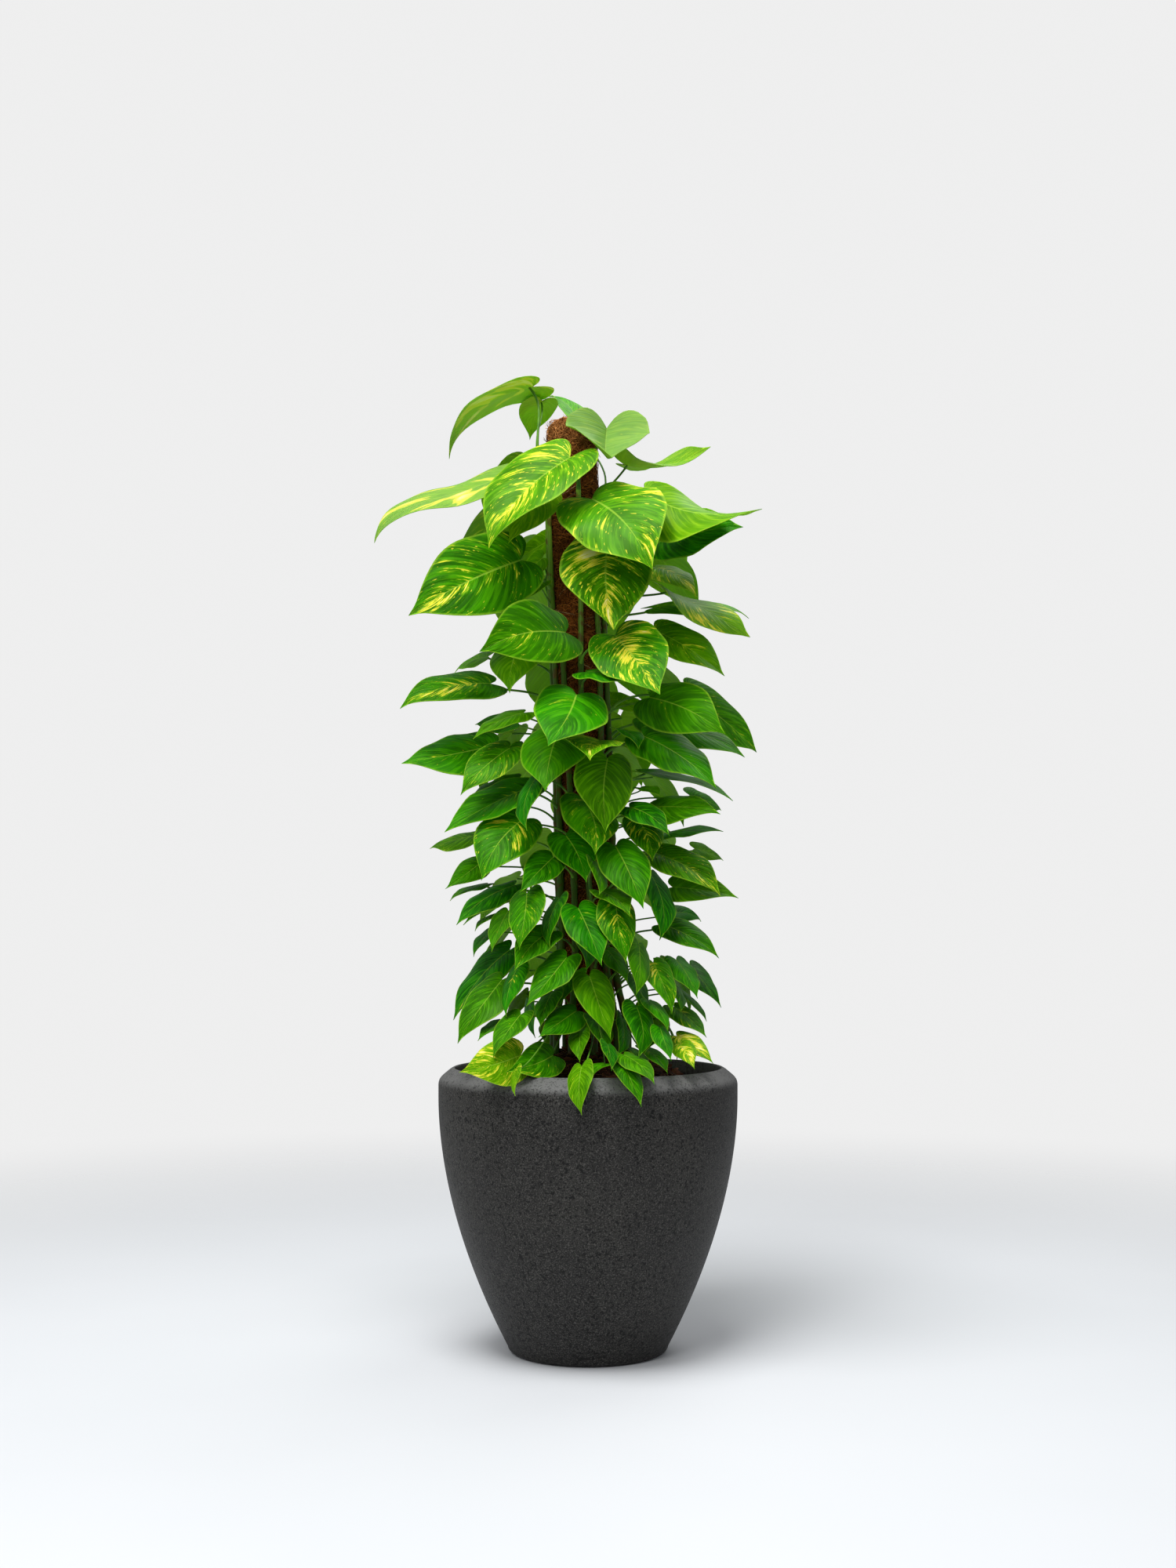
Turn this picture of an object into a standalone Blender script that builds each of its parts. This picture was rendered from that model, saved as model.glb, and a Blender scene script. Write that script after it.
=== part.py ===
"""A pothos trained up a coir pole in a round planter. Metres, +Z up, the front faces -Y."""

import math
from functools import partial
from random import Random

import bmesh
import bpy
import numpy as np
from mathutils.bvhtree import BVHTree

MM = 0.001

# Planter: a round tub that flares from its foot to a bevelled rim
PLANTER_DIAMETER = 430 * MM
PLANTER_HEIGHT = 408 * MM
FOOT_DIAMETER = 222 * MM
FOOT_ROUND = 9 * MM
WALL = 24 * MM
FLOOR = 26 * MM
FLARE_HEIGHT = 364 * MM
FLARE_POWER = 1.85
# Bevelled rim: how far in from the widest edge and how far below the top, in mm
RIM_BEVEL = ((0, 20.5), (1.3, 16.8), (4.4, 13.8), (18.4, 1.5), (21, 0), (24, 1.2))
ROUND_SIDES = 32
WALL_STEPS = 8

# Potting mix
SOIL_EDGE = 392 * MM
SOIL_CROWN = 438 * MM
SOIL_ROUGHNESS = 3 * MM
SOIL_RINGS = 5

# Coir pole: a sleeve on an inner stake, leaning a little to the left
POLE_RADIUS = 35.5 * MM
POLE_FOOT = 300 * MM
POLE_TOP = 1342 * MM
POLE_DOME = 22 * MM
POLE_SIDES = 20
DOME_TURNS = (30, 60, 80)
STAKE_RADIUS = 12 * MM
STAKE_FOOT = 90 * MM
STAKE_TOP = 1290 * MM
POLE_SLOPE = 0.032
POLE_X_AT_SOIL = 5.3 * MM
SOIL_LINE = 430 * MM

# Vines: the bearing of each stem round the pole in degrees, and the height it climbs to
VINES = (
    (207, 1255),
    (240, 1050),
    (275, 1245),
    (311, 1180),
    (342, 1105),
    (20, 1235),
    (58, 960),
    (95, 1200),
    (132, 1010),
    (170, 1215),
)
STEM_FOOT = 375 * MM
STEM_BEND_LOW = 455 * MM
STEM_BEND_HIGH = 550 * MM
STEM_SPREAD = 15 * MM
STEM_RADIUS = 4.8 * MM
STEM_TIP_RADIUS = 3.2 * MM
STEM_SIDES = 4
STEM_SWAY = math.radians(5)

# Leaf stalks: they thicken with the length of their blade and hold it just past its joint
STALK_SIDES = 3
STALK_LEAST = 0.8 * MM
STALK_GROWTH = 0.0065
STALK_FOOT = 1.25
STALK_TIP = 0.9
STALK_SINK = 0.1 * MM
STALK_HOLD = 5 * MM
STALK_FREE = 0.86
FIRST_NODE = STEM_BEND_LOW + 12 * MM
LAST_NODE = 5 * MM

# Space between touching solids, round the stalks and between leaves; rise of the hole cutters
GAP = 0.3 * MM
BARE = 0.4 * MM
CLEAR = 1.5 * MM
HOLE_RISE = 200 * MM

# Leaves: blade proportions and the room that the search for clear places may use
BLADE_THICKNESS = 1.0 * MM
NARROW_BLADE = 0.60
BROAD_BLADE = 0.86
SHORT_BLADE = 84 * MM
MEDIUM_BLADE = 98 * MM
LARGE_BLADE = 143 * MM
EYE = np.array((0.0, -2.7, 0.62))
DEPTH_SHIFTS = (0, -9, 9, -18, 18, -28, 28, -40, 40, -55, 55, -72, 72)
NODE_DROPS = (30, 55, 12, 85, -10, 120, -40, 160, -75)
BOWS = (0, 14, -14, 28, -28, 45, -45)
SEED = 11

# Seeded ranges of a blade's form: bend and curl down and fold across in degrees, cup,
# wave of the edge with its count and phases, skew, and twist from joint to tip in degrees
FORM = {
    "bend": (14, 34),
    "curl": (-6, 28),
    "fold": (6, 15),
    "cup": (0.06, 0.18),
    "wave": (0.012, 0.035),
    "waves": (1.4, 2.4),
    "phase": (0, 6.3),
    "other_phase": (0, 6.3),
    "skew": (-0.10, 0.10),
    "twist": (-16, 16),
}
TAPER = 0.28
TAPER_FROM = 70 * MM
TAPER_TO = 150 * MM
LEAST_FACING = 0.12

# Leaves on the back and the flanks, spread by the golden ratio and hidden from the front
BACK_LEAVES = 41
BACK_TRIES = 22
HIDDEN_LOW = 0.45
HIDDEN_HIGH = 0.85
HIDDEN_FROM = 800 * MM
HIDDEN_ABOVE = 1050 * MM
BACK_LOW = 440 * MM
BACK_HIGH = 1310 * MM
BACK_SWEEP = 84
BACK_LENGTH = 72 * MM
BACK_LONGER = 90 * MM
BACK_REACH = 116 * MM
FLANK_INSET = 34 * MM
BACK_SEED = 5000
GOLDEN = 0.618034
SCREEN_SPOTS = (
    (0, -0.7), (0, 0), (0, 0.7), (0.3, -0.9), (0.3, 0), (0.3, 0.9),
    (0.6, -0.7), (0.6, 0), (0.6, 0.7), (0.8, -0.3), (0.8, 0.3), (1, 0),
)

# Half outline of a blade: along the midrib, across (half width 1), foot of the side vein
HALF_OUTLINE = (
    (0.00, 0.00, 0.00),
    (-0.09, 0.18, 0.00),
    (-0.13, 0.42, 0.00),
    (-0.08, 0.68, 0.00),
    (0.06, 0.88, 0.05),
    (0.22, 0.98, 0.13),
    (0.39, 1.00, 0.25),
    (0.55, 0.89, 0.39),
    (0.69, 0.66, 0.53),
    (0.81, 0.39, 0.68),
    (0.91, 0.14, 0.83),
    (1.00, 0.00, 1.00),
)
SMALL_STATIONS = (3, 6, 9)
MEDIUM_STATIONS = (2, 4, 7, 9)
LARGE_STATIONS = (1, 3, 5, 6, 8, 10)
FIRST_FOOT = 5

# Leaves in the front view, in mm: joint x and z, tip x and z, width as seen, depth of the
# joint behind the pole's axis, length; then what is its own in its form, such as under=1
# where the underside shows, or a bend, curl, fold, twist or turn in degrees.
LEAVES = (
    # Crown
    (-80, 1388, -200, 1284, 32, 20, 174, dict(under=1, bend=46, twist=36, fold=10)),
    (-66, 1368, -84, 1311, 56, 60, 88, dict(under=1)),
    (-15, 1340, -58, 1374, 20, 70, 90),
    (-116, 1262, -308, 1163, 38, -20, 224, dict(bend=-26, fold=8, curl=85)),
    (-26, 1286, -143, 1155, 82, -100, 187, dict(fold=24, skew=-0.08)),
    (-60, 1235, -115, 1162, 60, -55, 105),
    (27, 1328, 35, 1286, 124, -20, 138, dict(bend=-80, fold=42, turned=-18)),
    (52, 1276, 177, 1302, 14, -10, 134, dict(bend=-50, fold=25, twist=-90)),
    (90, 1230, 251, 1212, 38, -70, 168, dict(bend=-46, fold=-8, twist=44)),
    (107, 1166, 224, 1186, 66, -30, 130),
    (6, 1226, 93, 1125, 130, -110, 166, dict(skew=0.06)),
    (28, 1160, 37, 1037, 126, -95, 148),
    (97, 1128, 157, 1084, 40, -20, 95),
    (112, 1096, 234, 1027, 42, -30, 145, dict(bend=0, fold=6, twist=-60, skew=0.05)),
    (96, 1070, 232, 1054, 14, 20, 142),
    (40, 1029, 104, 944, 98, -115, 138),
    (-33, 1034, -157, 1006, 92, -110, 145),
    (-98, 1138, -259, 1058, 112, -80, 188, dict(skew=-0.02)),
    (-66, 1141, -97, 1104, 30, 10, 60),
    (-68, 1104, -107, 1073, 25, -25, 75),
    (-57, 1166, -102, 1138, 35, 30, 80),
    (99, 1035, 197, 971, 51, -20, 130),
    (0, 977, 90, 948, 26, -130, 110),
    (34, 937, 87, 923, 24, 30, 80),
    (47, 893, 73, 864, 26, -20, 70),
    # Upper middle, left
    (-141, 960, -271, 924, 47, -10, 142),
    (-145, 999, -192, 976, 14, 30, 75),
    (-96, 1017, -113, 946, 73, -20, 105),
    (-17, 944, -58, 870, 99, -130, 128),
    (-43, 889, -62, 805, 90, -100, 118),
    (-102, 904, -163, 901, 34, 20, 85),
    (-138, 870, -269, 845, 60, -20, 140, dict(skew=0.08)),
    (-93, 918, -166, 880, 25, -70, 95),
    (-113, 867, -184, 799, 56, -80, 108),
    (-93, 872, -124, 827, 28, -30, 75),
    (17, 878, 3, 849, 79, -100, 105),
    # Middle
    (28, 852, 25, 745, 84, -120, 120),
    (-6, 793, 10, 713, 79, -100, 106),
    (-32, 741, -2, 673, 66, -80, 96),
    (-96, 763, -154, 676, 79, -95, 114),
    (-85, 810, -207, 746, 47, -55, 142),
    (-99, 824, -171, 789, 28, -10, 92),
    (-73, 827, -88, 748, 32, -55, 95),
    (-158, 742, -228, 722, 25, 10, 85),
    (-153, 703, -206, 664, 40, -20, 82),
    (-147, 671, -199, 647, 12, 0, 65),
    (-107, 669, -190, 612, 36, -55, 108),
    (-110, 646, -180, 612, 10, -10, 85),
    (-113, 632, -163, 603, 10, -70, 75),
    (-115, 632, -139, 573, 32, -95, 78),
    (-133, 607, -165, 566, 20, -20, 65),
    (-88, 658, -99, 576, 54, -120, 94),
    (-51, 709, -99, 658, 51, -95, 86),
    # Lower middle
    (-57, 601, -107, 545, 51, -115, 90),
    (-42, 649, -54, 579, 28, -80, 80),
    (-14, 636, 20, 553, 61, -135, 100),
    (40, 646, 55, 556, 57, -130, 98),
    (-9, 590, -3, 545, 29, -80, 66),
    (-31, 565, -89, 495, 47, -130, 98),
    (-102, 550, -118, 480, 31, -90, 80),
    (-113, 576, -194, 475, 40, -30, 134),
    (-124, 533, -188, 441, 54, -80, 118),
    (-17, 545, -40, 495, 34, -80, 70),
    (-51, 516, -69, 464, 34, -90, 70),
    (-85, 505, -76, 449, 17, -105, 65),
    (2, 538, 33, 446, 52, -125, 103),
    # Skirt over the soil and the rim
    (-124, 473, -159, 445, 17, -110, 56),
    (-97, 483, -137, 420, 37, -125, 84),
    (-98, 424, -186, 400, 68, -125, 96, dict(skew=0.06)),
    (-51, 424, -119, 400, 57, -140, 92),
    (-104, 404, -105, 366, 14, -185, 48),
    (-9, 408, -9, 338, 37, -200, 76),
    (25, 412, 8, 396, 16, -160, 42),
    (-17, 488, -72, 450, 47, -125, 82),
    (-11, 460, -12, 414, 32, -130, 62),
    (8, 477, 24, 426, 34, -100, 68),
    (28, 440, 34, 402, 23, -150, 56),
    (49, 477, 41, 423, 25, -110, 66),
    # Right side, upper
    (90, 940, 198, 887, 81, -70, 138),
    (147, 946, 243, 861, 56, 30, 138),
    (90, 912, 226, 854, 45, -10, 152),
    (81, 884, 185, 809, 57, -80, 138),
    (79, 833, 209, 791, 14, -20, 142),
    (76, 810, 105, 798, 16, -80, 50),
    (93, 782, 191, 772, 47, -70, 112),
    (147, 799, 192, 777, 28, 40, 72),
    (60, 782, 118, 740, 40, -115, 88),
    (99, 739, 195, 747, 16, -10, 102),
    (71, 765, 93, 703, 52, -80, 90),
    # Right side, lower
    (40, 725, 80, 635, 70, -120, 110),
    (96, 716, 191, 654, 51, -60, 120),
    (154, 722, 195, 705, 20, 30, 60),
    (122, 667, 217, 651, 45, -30, 104, dict(skew=-0.08)),
    (90, 686, 103, 590, 43, -95, 102),
    (20, 660, 61, 623, 34, -100, 76),
    (8, 703, 16, 655, 23, -75, 66),
    (111, 612, 189, 564, 40, -55, 98),
    (119, 629, 163, 617, 22, 20, 62),
    (28, 576, 57, 528, 32, -80, 70),
    (73, 584, 69, 511, 38, -135, 82),
    (94, 558, 121, 483, 41, -105, 86),
    (70, 533, 79, 469, 25, -90, 76),
    (88, 502, 115, 458, 23, -105, 62),
    (147, 554, 192, 493, 32, -10, 86),
    (127, 562, 158, 506, 36, -70, 76),
    (127, 524, 133, 486, 20, -70, 55),
    (133, 520, 171, 473, 12, -20, 66),
    (124, 494, 171, 450, 32, -55, 76),
    (70, 494, 72, 420, 42, -140, 84),
    # Right side of the skirt
    (128, 452, 181, 412, 36, -90, 76),
    (133, 440, 154, 404, 34, -120, 60),
    (96, 466, 81, 426, 40, -120, 60),
    (104, 463, 120, 416, 28, -100, 62),
    (81, 434, 115, 398, 23, -150, 60),
    (52, 425, 96, 382, 32, -165, 72),
    (51, 410, 77, 350, 32, -195, 74),
    (62, 434, 85, 402, 16, -150, 50),
)


def unit(vector):
    return vector / np.linalg.norm(vector)


def seen_at(x, z, depth):
    """The point at a depth that appears at x, z on the plane through the pole."""
    scale = 1.0 - depth / EYE[1]
    return np.array((x * scale, depth, EYE[2] + (z - EYE[2]) * scale))


def pole_axis(z):
    return np.array((POLE_X_AT_SOIL - POLE_SLOPE * (z - SOIL_LINE), 0.0, z))


def ramp(value, low, high):
    share = min(max((value - low) / (high - low), 0.0), 1.0)
    return share * share * (3 - 2 * share)


class Stem:
    """A stem that stands in the soil, bends to the pole and climbs its face."""

    def __init__(self, index):
        bearing, top = VINES[index]
        self.bearing = math.radians(bearing)
        self.top = top * MM
        self.phase = index * 1.7

    def radius(self, z):
        return STEM_RADIUS + (STEM_TIP_RADIUS - STEM_RADIUS) * ramp(z, STEM_BEND_HIGH, POLE_TOP)

    def point(self, z):
        level = max(z, STEM_BEND_LOW)
        climb = ramp(level, STEM_BEND_LOW, STEM_BEND_HIGH)
        reach = POLE_RADIUS + self.radius(level) + GAP * 2 + STEM_SPREAD * (1 - climb)
        angle = self.bearing + STEM_SWAY * climb * math.sin(9 * level + self.phase)
        middle = pole_axis(level)
        point = middle + reach * np.array((math.cos(angle), math.sin(angle), 0.0))
        point[2] = z
        return point

    def outward(self, z):
        return unit((self.point(z) - pole_axis(max(z, STEM_BEND_LOW))) * (1, 1, 0))

    def path(self):
        heights = [STEM_FOOT, STEM_BEND_LOW, 0.5 * (STEM_BEND_LOW + STEM_BEND_HIGH)]
        heights += list(np.linspace(STEM_BEND_HIGH, self.top, 6))
        return [self.point(z) for z in heights], [self.radius(z) for z in heights]


class Leaf:
    """A heart-shaped blade, set by its joint, tip, length and the width seen from the front."""

    def __init__(self, base, tip, seen_width, rng, under=0, turned=None, **form):
        self.base = base
        self.length = np.linalg.norm(tip - base)
        narrow = NARROW_BLADE * self.length * rng.uniform(0.96, 1.1)
        self.width = min(max(1.06 * seen_width, narrow), BROAD_BLADE * self.length)
        self.axis = unit(tip - base)
        view = unit(EYE - 0.5 * (base + tip))
        face = unit(view - self.axis * (view @ self.axis))
        side = np.cross(self.axis, face)
        cosine = min(max(seen_width / self.width, LEAST_FACING), 1.0)
        sine = math.sqrt(1 - cosine * cosine)
        if turned is not None:
            cosine, sine = math.cos(math.radians(turned)), math.sin(math.radians(turned))
        facing = -cosine if under else cosine
        outward = unit((base - pole_axis(base[2])) * (1, 1, 0))
        wish = np.array((0, 0, 1.0)) + 0.5 * outward
        choices = [face * facing + side * sine, face * facing - side * sine]
        self.normal = max(choices, key=lambda normal: normal @ wish)
        if turned is not None:
            self.normal = choices[0]
        self.side = np.cross(self.normal, self.axis)
        drawn = {name: rng.uniform(*span) for name, span in FORM.items()}
        drawn.update(form)
        self.bend = math.radians(drawn["bend"])
        self.curl = math.radians(drawn["curl"])
        self.fold = math.tan(math.radians(drawn["fold"]))
        self.twist = math.radians(drawn["twist"])
        self.cup = drawn["cup"]
        self.wave = drawn["wave"]
        self.waves = drawn["waves"]
        self.phases = (drawn["phase"], drawn["other_phase"])
        self.skew = drawn["skew"]
        self.taper = TAPER * (1 - ramp(self.length, TAPER_FROM, TAPER_TO))
        self._midrib()

    def _midrib(self):
        steps = np.linspace(0, 1, 61)
        angle = 0.5 * self.bend - self.bend * steps - self.curl * steps**4
        along = np.concatenate(((0,), np.cumsum(np.cos(angle[:-1]) / 60)))
        above = np.concatenate(((0,), np.cumsum(np.sin(angle[:-1]) / 60)))
        turn = math.atan2(above[-1], along[-1])
        scale = self.length / math.hypot(above[-1], along[-1])
        cosine, sine = math.cos(turn), math.sin(turn)
        self.steps = steps
        self.along = scale * (cosine * along + sine * above)
        self.above = scale * (cosine * above - sine * along)
        self.angle = angle - turn

    def point(self, u, v, swell=0.0):
        """Point on the blade: u runs from joint to tip, v from -1 to 1 across the half widths."""
        tail = np.minimum(u, 0.0) * self.length
        head = np.maximum(u - 1.0, 0.0) * self.length
        first, last = self.angle[0], self.angle[-1]
        angle = np.interp(u, self.steps, self.angle)
        along = np.interp(u, self.steps, self.along)
        along = along + tail * math.cos(first) + head * math.cos(last)
        above = np.interp(u, self.steps, self.above)
        above = above + tail * math.sin(first) + head * math.sin(last)
        half = 0.5 * self.width * (1 - np.clip(u, 0, 1)) ** self.taper + swell
        across = np.abs(v)
        phase = np.where(v > 0, self.phases[0], self.phases[1])
        ripple = self.wave * across**2 * np.sin(6.283 * self.waves * u + phase)
        flat_rise = self.width * (0.5 * self.fold * across - self.cup * across**2 + ripple)
        turn = self.twist * (0.5 - np.clip(u, 0, 1))
        rise = flat_rise * np.cos(turn) + v * half * np.sin(turn)
        along = along - rise * np.sin(angle)
        above = above + rise * np.cos(angle)
        lateral = v * half * np.cos(turn) - flat_rise * np.sin(turn)
        lateral = lateral + self.skew * self.width * np.sin(3.1416 * np.clip(u, 0, 1))
        return (
            self.base
            + np.multiply.outer(along, self.axis)
            + np.multiply.outer(lateral, self.side)
            + np.multiply.outer(above, self.normal)
        )

    def facing(self, u, v):
        """Unit normal of the blade at u, v; the narrow tip takes the one just behind it."""
        step = 0.02
        u = np.minimum(u, 0.95)
        run = self.point(u + step, v) - self.point(u - step, v)
        reach = self.point(u, v + step) - self.point(u, v - step)
        normal = np.cross(run, reach)
        return normal / np.linalg.norm(normal, axis=-1, keepdims=True)


def blade_stations(leaf):
    if leaf.length > LARGE_BLADE:
        return LARGE_STATIONS
    return MEDIUM_STATIONS if leaf.length > MEDIUM_BLADE else SMALL_STATIONS


def blade(leaf, grow=0.0):
    """Corner points and triangles of a blade, alike on both faces; grow fattens it all round."""
    stations = blade_stations(leaf)
    feet = [k for k in stations if k >= FIRST_FOOT]
    places = [(0.0, 0.0)]
    places += [(HALF_OUTLINE[k][2], 0.0) for k in feet]
    places.append((1.0, 0.0))
    tip = len(feet) + 1
    triangles = []
    loops = []
    for side in (1, -1):
        first = len(places)
        places += [(HALF_OUTLINE[k][0], side * HALF_OUTLINE[k][1]) for k in stations]
        edge = list(range(first, len(places))) + [tip]
        foot = [1 + feet.index(k) if k in feet else 0 for k in stations] + [tip]
        half = []
        for k in range(len(edge) - 1):
            half.append((foot[k], edge[k], edge[k + 1]))
            if foot[k + 1] != foot[k] and foot[k + 1] != tip:
                half.append((foot[k], edge[k + 1], foot[k + 1]))
        if foot[0] != 0:
            half.append((0, edge[0], foot[0]))
        triangles += half if side == -1 else [face[::-1] for face in half]
        loops.append(edge)
    u, v = np.array(places).T
    u = u + grow / leaf.length * np.where(u > 0.5, 1.5, np.where(u < 0, -1.5, 0.0))
    middle = leaf.point(u, v, grow)
    offset = leaf.facing(u, v) * (0.5 * BLADE_THICKNESS + grow)
    count = len(places)
    corners = np.concatenate((middle + offset, middle - offset))
    faces = list(triangles)
    faces += [(c + count, b + count, a + count) for a, b, c in triangles]
    rim = [0] + loops[1] + loops[0][-2::-1]
    for a, b in zip(rim, rim[1:] + rim[:1]):
        faces += [(b, a, a + count), (b, a + count, b + count)]
    return corners, faces


def tube(points, radii, sides, up):
    """A tapering tube along points, with flat ends; one corner of its last ring points to up."""
    points = np.array(points)
    ahead = [unit(direction) for direction in np.gradient(points, axis=0)]
    turns = [2 * math.pi * k / sides for k in range(sides)]
    rings = []
    guide = up
    for point, radius, direction in list(zip(points, radii, ahead))[::-1]:
        guide = unit(guide - direction * (guide @ direction))
        other = np.cross(direction, guide)
        ring = [point + radius * (math.cos(a) * guide + math.sin(a) * other) for a in turns]
        rings.append(ring)
    corners = [corner for ring in rings[::-1] for corner in ring]
    faces = []
    for ring in range(len(points) - 1):
        low = ring * sides
        for k in range(sides):
            a, b = low + k, low + (k + 1) % sides
            faces += [(a, b, b + sides), (a, b + sides, a + sides)]
    last = len(corners) - sides
    for k in range(1, sides - 1):
        faces += [(0, k + 1, k), (last, last + k, last + k + 1)]
    return np.array(corners), faces


class Stalk:
    """The leaf stalk: an arched curve from the stem's node to the joint of the blade."""

    def __init__(self, stem, height, leaf, bow):
        self.leaf = leaf
        self.steps = 2 if leaf.length < SHORT_BLADE else 3
        start = stem.point(height)
        self.radius = STALK_LEAST + STALK_GROWTH * leaf.length
        foot = min(k for k in blade_stations(leaf) if k >= FIRST_FOOT)
        run = unit(leaf.point(HALF_OUTLINE[foot][2], 0.0) - leaf.base)
        seat = leaf.base + STALK_HOLD * run
        flat = leaf.facing(np.array((STALK_HOLD / leaf.length,)), np.array((0.0,)))[0]
        facing = unit(flat - run * (flat @ run))
        self.facing = facing
        span = seat - start
        reach = np.linalg.norm(span)
        lift = 0.30 if span[2] > -0.01 else 0.16
        arrive = unit(0.45 * leaf.axis + 0.5 * leaf.normal + 0.6 * span / reach)
        sideways = unit(np.cross((0.0, 0.0, 1.0), span)) * bow * MM
        out = stem.outward(height) * 0.24 + np.array((0, 0, lift))
        turn = seat - 0.34 * reach * arrive + sideways
        self.poles = [start, start + reach * out + sideways, turn, seat]
        for _ in range(3):
            last = unit(self.poles[3] - self.point(1 - 1 / self.steps))
            rise = self.radius * STALK_TIP * math.sqrt(max(1 - (last @ facing) ** 2, 0.0))
            self.poles[3] = seat - facing * (rise - STALK_SINK)

    def point(self, t):
        a, b, c, d = self.poles
        s = 1 - t
        return s * s * s * a + 3 * s * s * t * b + 3 * s * t * t * c + t * t * t * d

    def mesh(self, end=1.0, grow=0.0):
        places = np.linspace(0, end, self.steps + 1)
        slim = STALK_TIP - STALK_FOOT
        radii = [self.radius * (STALK_FOOT + slim * t) + grow for t in places]
        return tube([self.point(t) for t in places], radii, STALK_SIDES, self.facing)


class Room:
    """What has been placed so far, and whether a new piece would touch it."""

    def __init__(self):
        self.pieces = []
        self.shapes = []

    def add(self, shape, owner, kind):
        corners, faces = shape
        tree = BVHTree.FromPolygons(corners.tolist(), faces)
        self.pieces.append((corners.min(0), corners.max(0), tree, owner, kind))
        self.shapes.append(shape)

    def screen(self):
        """All that has been placed, as one tree to look along."""
        corners, faces = [], []
        for places, sides in self.shapes:
            first = len(corners)
            corners += places.tolist()
            faces += [[first + k for k in side] for side in sides]
        return BVHTree.FromPolygons(corners, faces)

    def free(self, shape, owner=None, own=()):
        corners, faces = shape
        low, high = corners.min(0), corners.max(0)
        tree = None
        for least, most, other, keeper, kind in self.pieces:
            if keeper == owner and kind in own:
                continue
            if (least > high).any() or (most < low).any():
                continue
            if tree is None:
                tree = BVHTree.FromPolygons(corners.tolist(), faces)
            if tree.overlap(other):
                return False
        return True


def tip_at(base, x, z, length, toward):
    """The tip that appears at x, z and lies a leaf's length from its joint."""
    depth = base[1]
    for _ in range(40):
        tip = seen_at(x, z, depth)
        short = length - np.linalg.norm(tip - base)
        if short <= 0:
            break
        depth += toward * max(0.35 * short, 0.0004)
    return seen_at(x, z, depth)


def front_leaf(row, seed, shift):
    """A leaf of the front view, set from its row of readings."""
    x, z, tip_x, tip_z, seen, depth, length, *form = row
    base = seen_at(x * MM, z * MM, (depth + shift) * MM)
    toward = 1 if depth > 0 else -1
    tip = tip_at(base, tip_x * MM, tip_z * MM, length * MM, toward)
    return Leaf(base, tip, seen * MM, Random(seed), **(form[0] if form else {}))


def back_leaf(index, shift):
    """A leaf of the back; those on the flanks sit closer to the pole and hang down."""
    rng = Random(SEED + BACK_SEED + index * BACK_TRIES + shift)
    share = (index + 0.5) / BACK_LEAVES
    height = BACK_LOW + (BACK_HIGH - BACK_LOW) * share + rng.uniform(-2, 2) * shift * MM
    swing = 2 * ((index * GOLDEN) % 1.0) - 1
    swing = min(max(swing + 0.02 * shift * rng.uniform(-1, 1), -1), 1)
    bearing = math.radians(90 + BACK_SWEEP * swing)
    length = (BACK_LENGTH + BACK_LONGER * share) * rng.uniform(0.9, 1.12)
    flank = abs(swing) ** 3
    reach = BACK_REACH - FLANK_INSET * flank + rng.uniform(-12, 22) * MM
    outward = np.array((math.cos(bearing), math.sin(bearing), 0.0))
    base = pole_axis(height) + reach * outward
    drop = rng.uniform(0.25, 1.1) + 1.8 * flank
    sideways = rng.uniform(-0.4, 0.4) * np.array((-outward[1], outward[0], 0.0))
    tip = base + length * unit(outward + sideways - drop * np.array((0, 0, 1.0)))
    leaf = Leaf(base, tip, rng.uniform(0.62, 0.8) * length, rng)
    wish = unit(outward + np.array((0, 0, 1.0)) + rng.uniform(-0.5, 0.5) * leaf.side)
    leaf.normal = unit(wish - leaf.axis * (wish @ leaf.axis))
    leaf.side = np.cross(leaf.normal, leaf.axis)
    return leaf


def hidden_share(leaf, screen):
    """The share of a blade that the pieces on the screen hide from the front."""
    places = leaf.point(*np.array(SCREEN_SPOTS).T)
    hits = 0
    for place in places:
        ray = place - EYE
        far = np.linalg.norm(ray)
        hits += screen.ray_cast(EYE, ray / far, far - MM)[0] is not None
    return hits / len(places)


def find_place(room, stems, make_leaf, shifts, screen=None):
    """The first clear blade and stalk, tried by depth, stem, node height and sideways bow."""
    for shift in shifts:
        leaf = make_leaf(shift)
        if screen:
            risen = ramp(leaf.base[2], HIDDEN_FROM, HIDDEN_ABOVE)
            needed = HIDDEN_LOW + (HIDDEN_HIGH - HIDDEN_LOW) * risen
            if hidden_share(leaf, screen) < needed:
                continue
        if not room.free(blade(leaf, CLEAR)):
            continue
        own_tree = BVHTree.FromPolygons(*as_lists(blade(leaf, BARE)))
        near = sorted(range(len(stems)), key=lambda k: stem_distance(stems[k], leaf))
        for bow in BOWS:
            for index in near[:4]:
                for drop in NODE_DROPS:
                    stalk = try_stalk(room, stems[index], index, leaf, own_tree, drop, bow)
                    if stalk:
                        return index, leaf, stalk
    return None


def as_lists(shape):
    return shape[0].tolist(), shape[1]


def stem_distance(stem, leaf):
    height = min(leaf.base[2], stem.top)
    return np.linalg.norm(stem.point(height) - leaf.base)


def try_stalk(room, stem, index, leaf, own_tree, drop, bow):
    """The stalk from a node of the stem, or None where it would touch something."""
    height = min(max(leaf.base[2] - drop * MM, FIRST_NODE), stem.top - LAST_NODE)
    stalk = Stalk(stem, height, leaf, bow)
    short = stalk.mesh(end=STALK_FREE)
    if own_tree.overlap(BVHTree.FromPolygons(*as_lists(short))):
        return None
    whole = stalk.mesh(grow=CLEAR)
    if not room.free(whole, index, ("stem", "stalk")):
        return None
    return stalk


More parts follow.
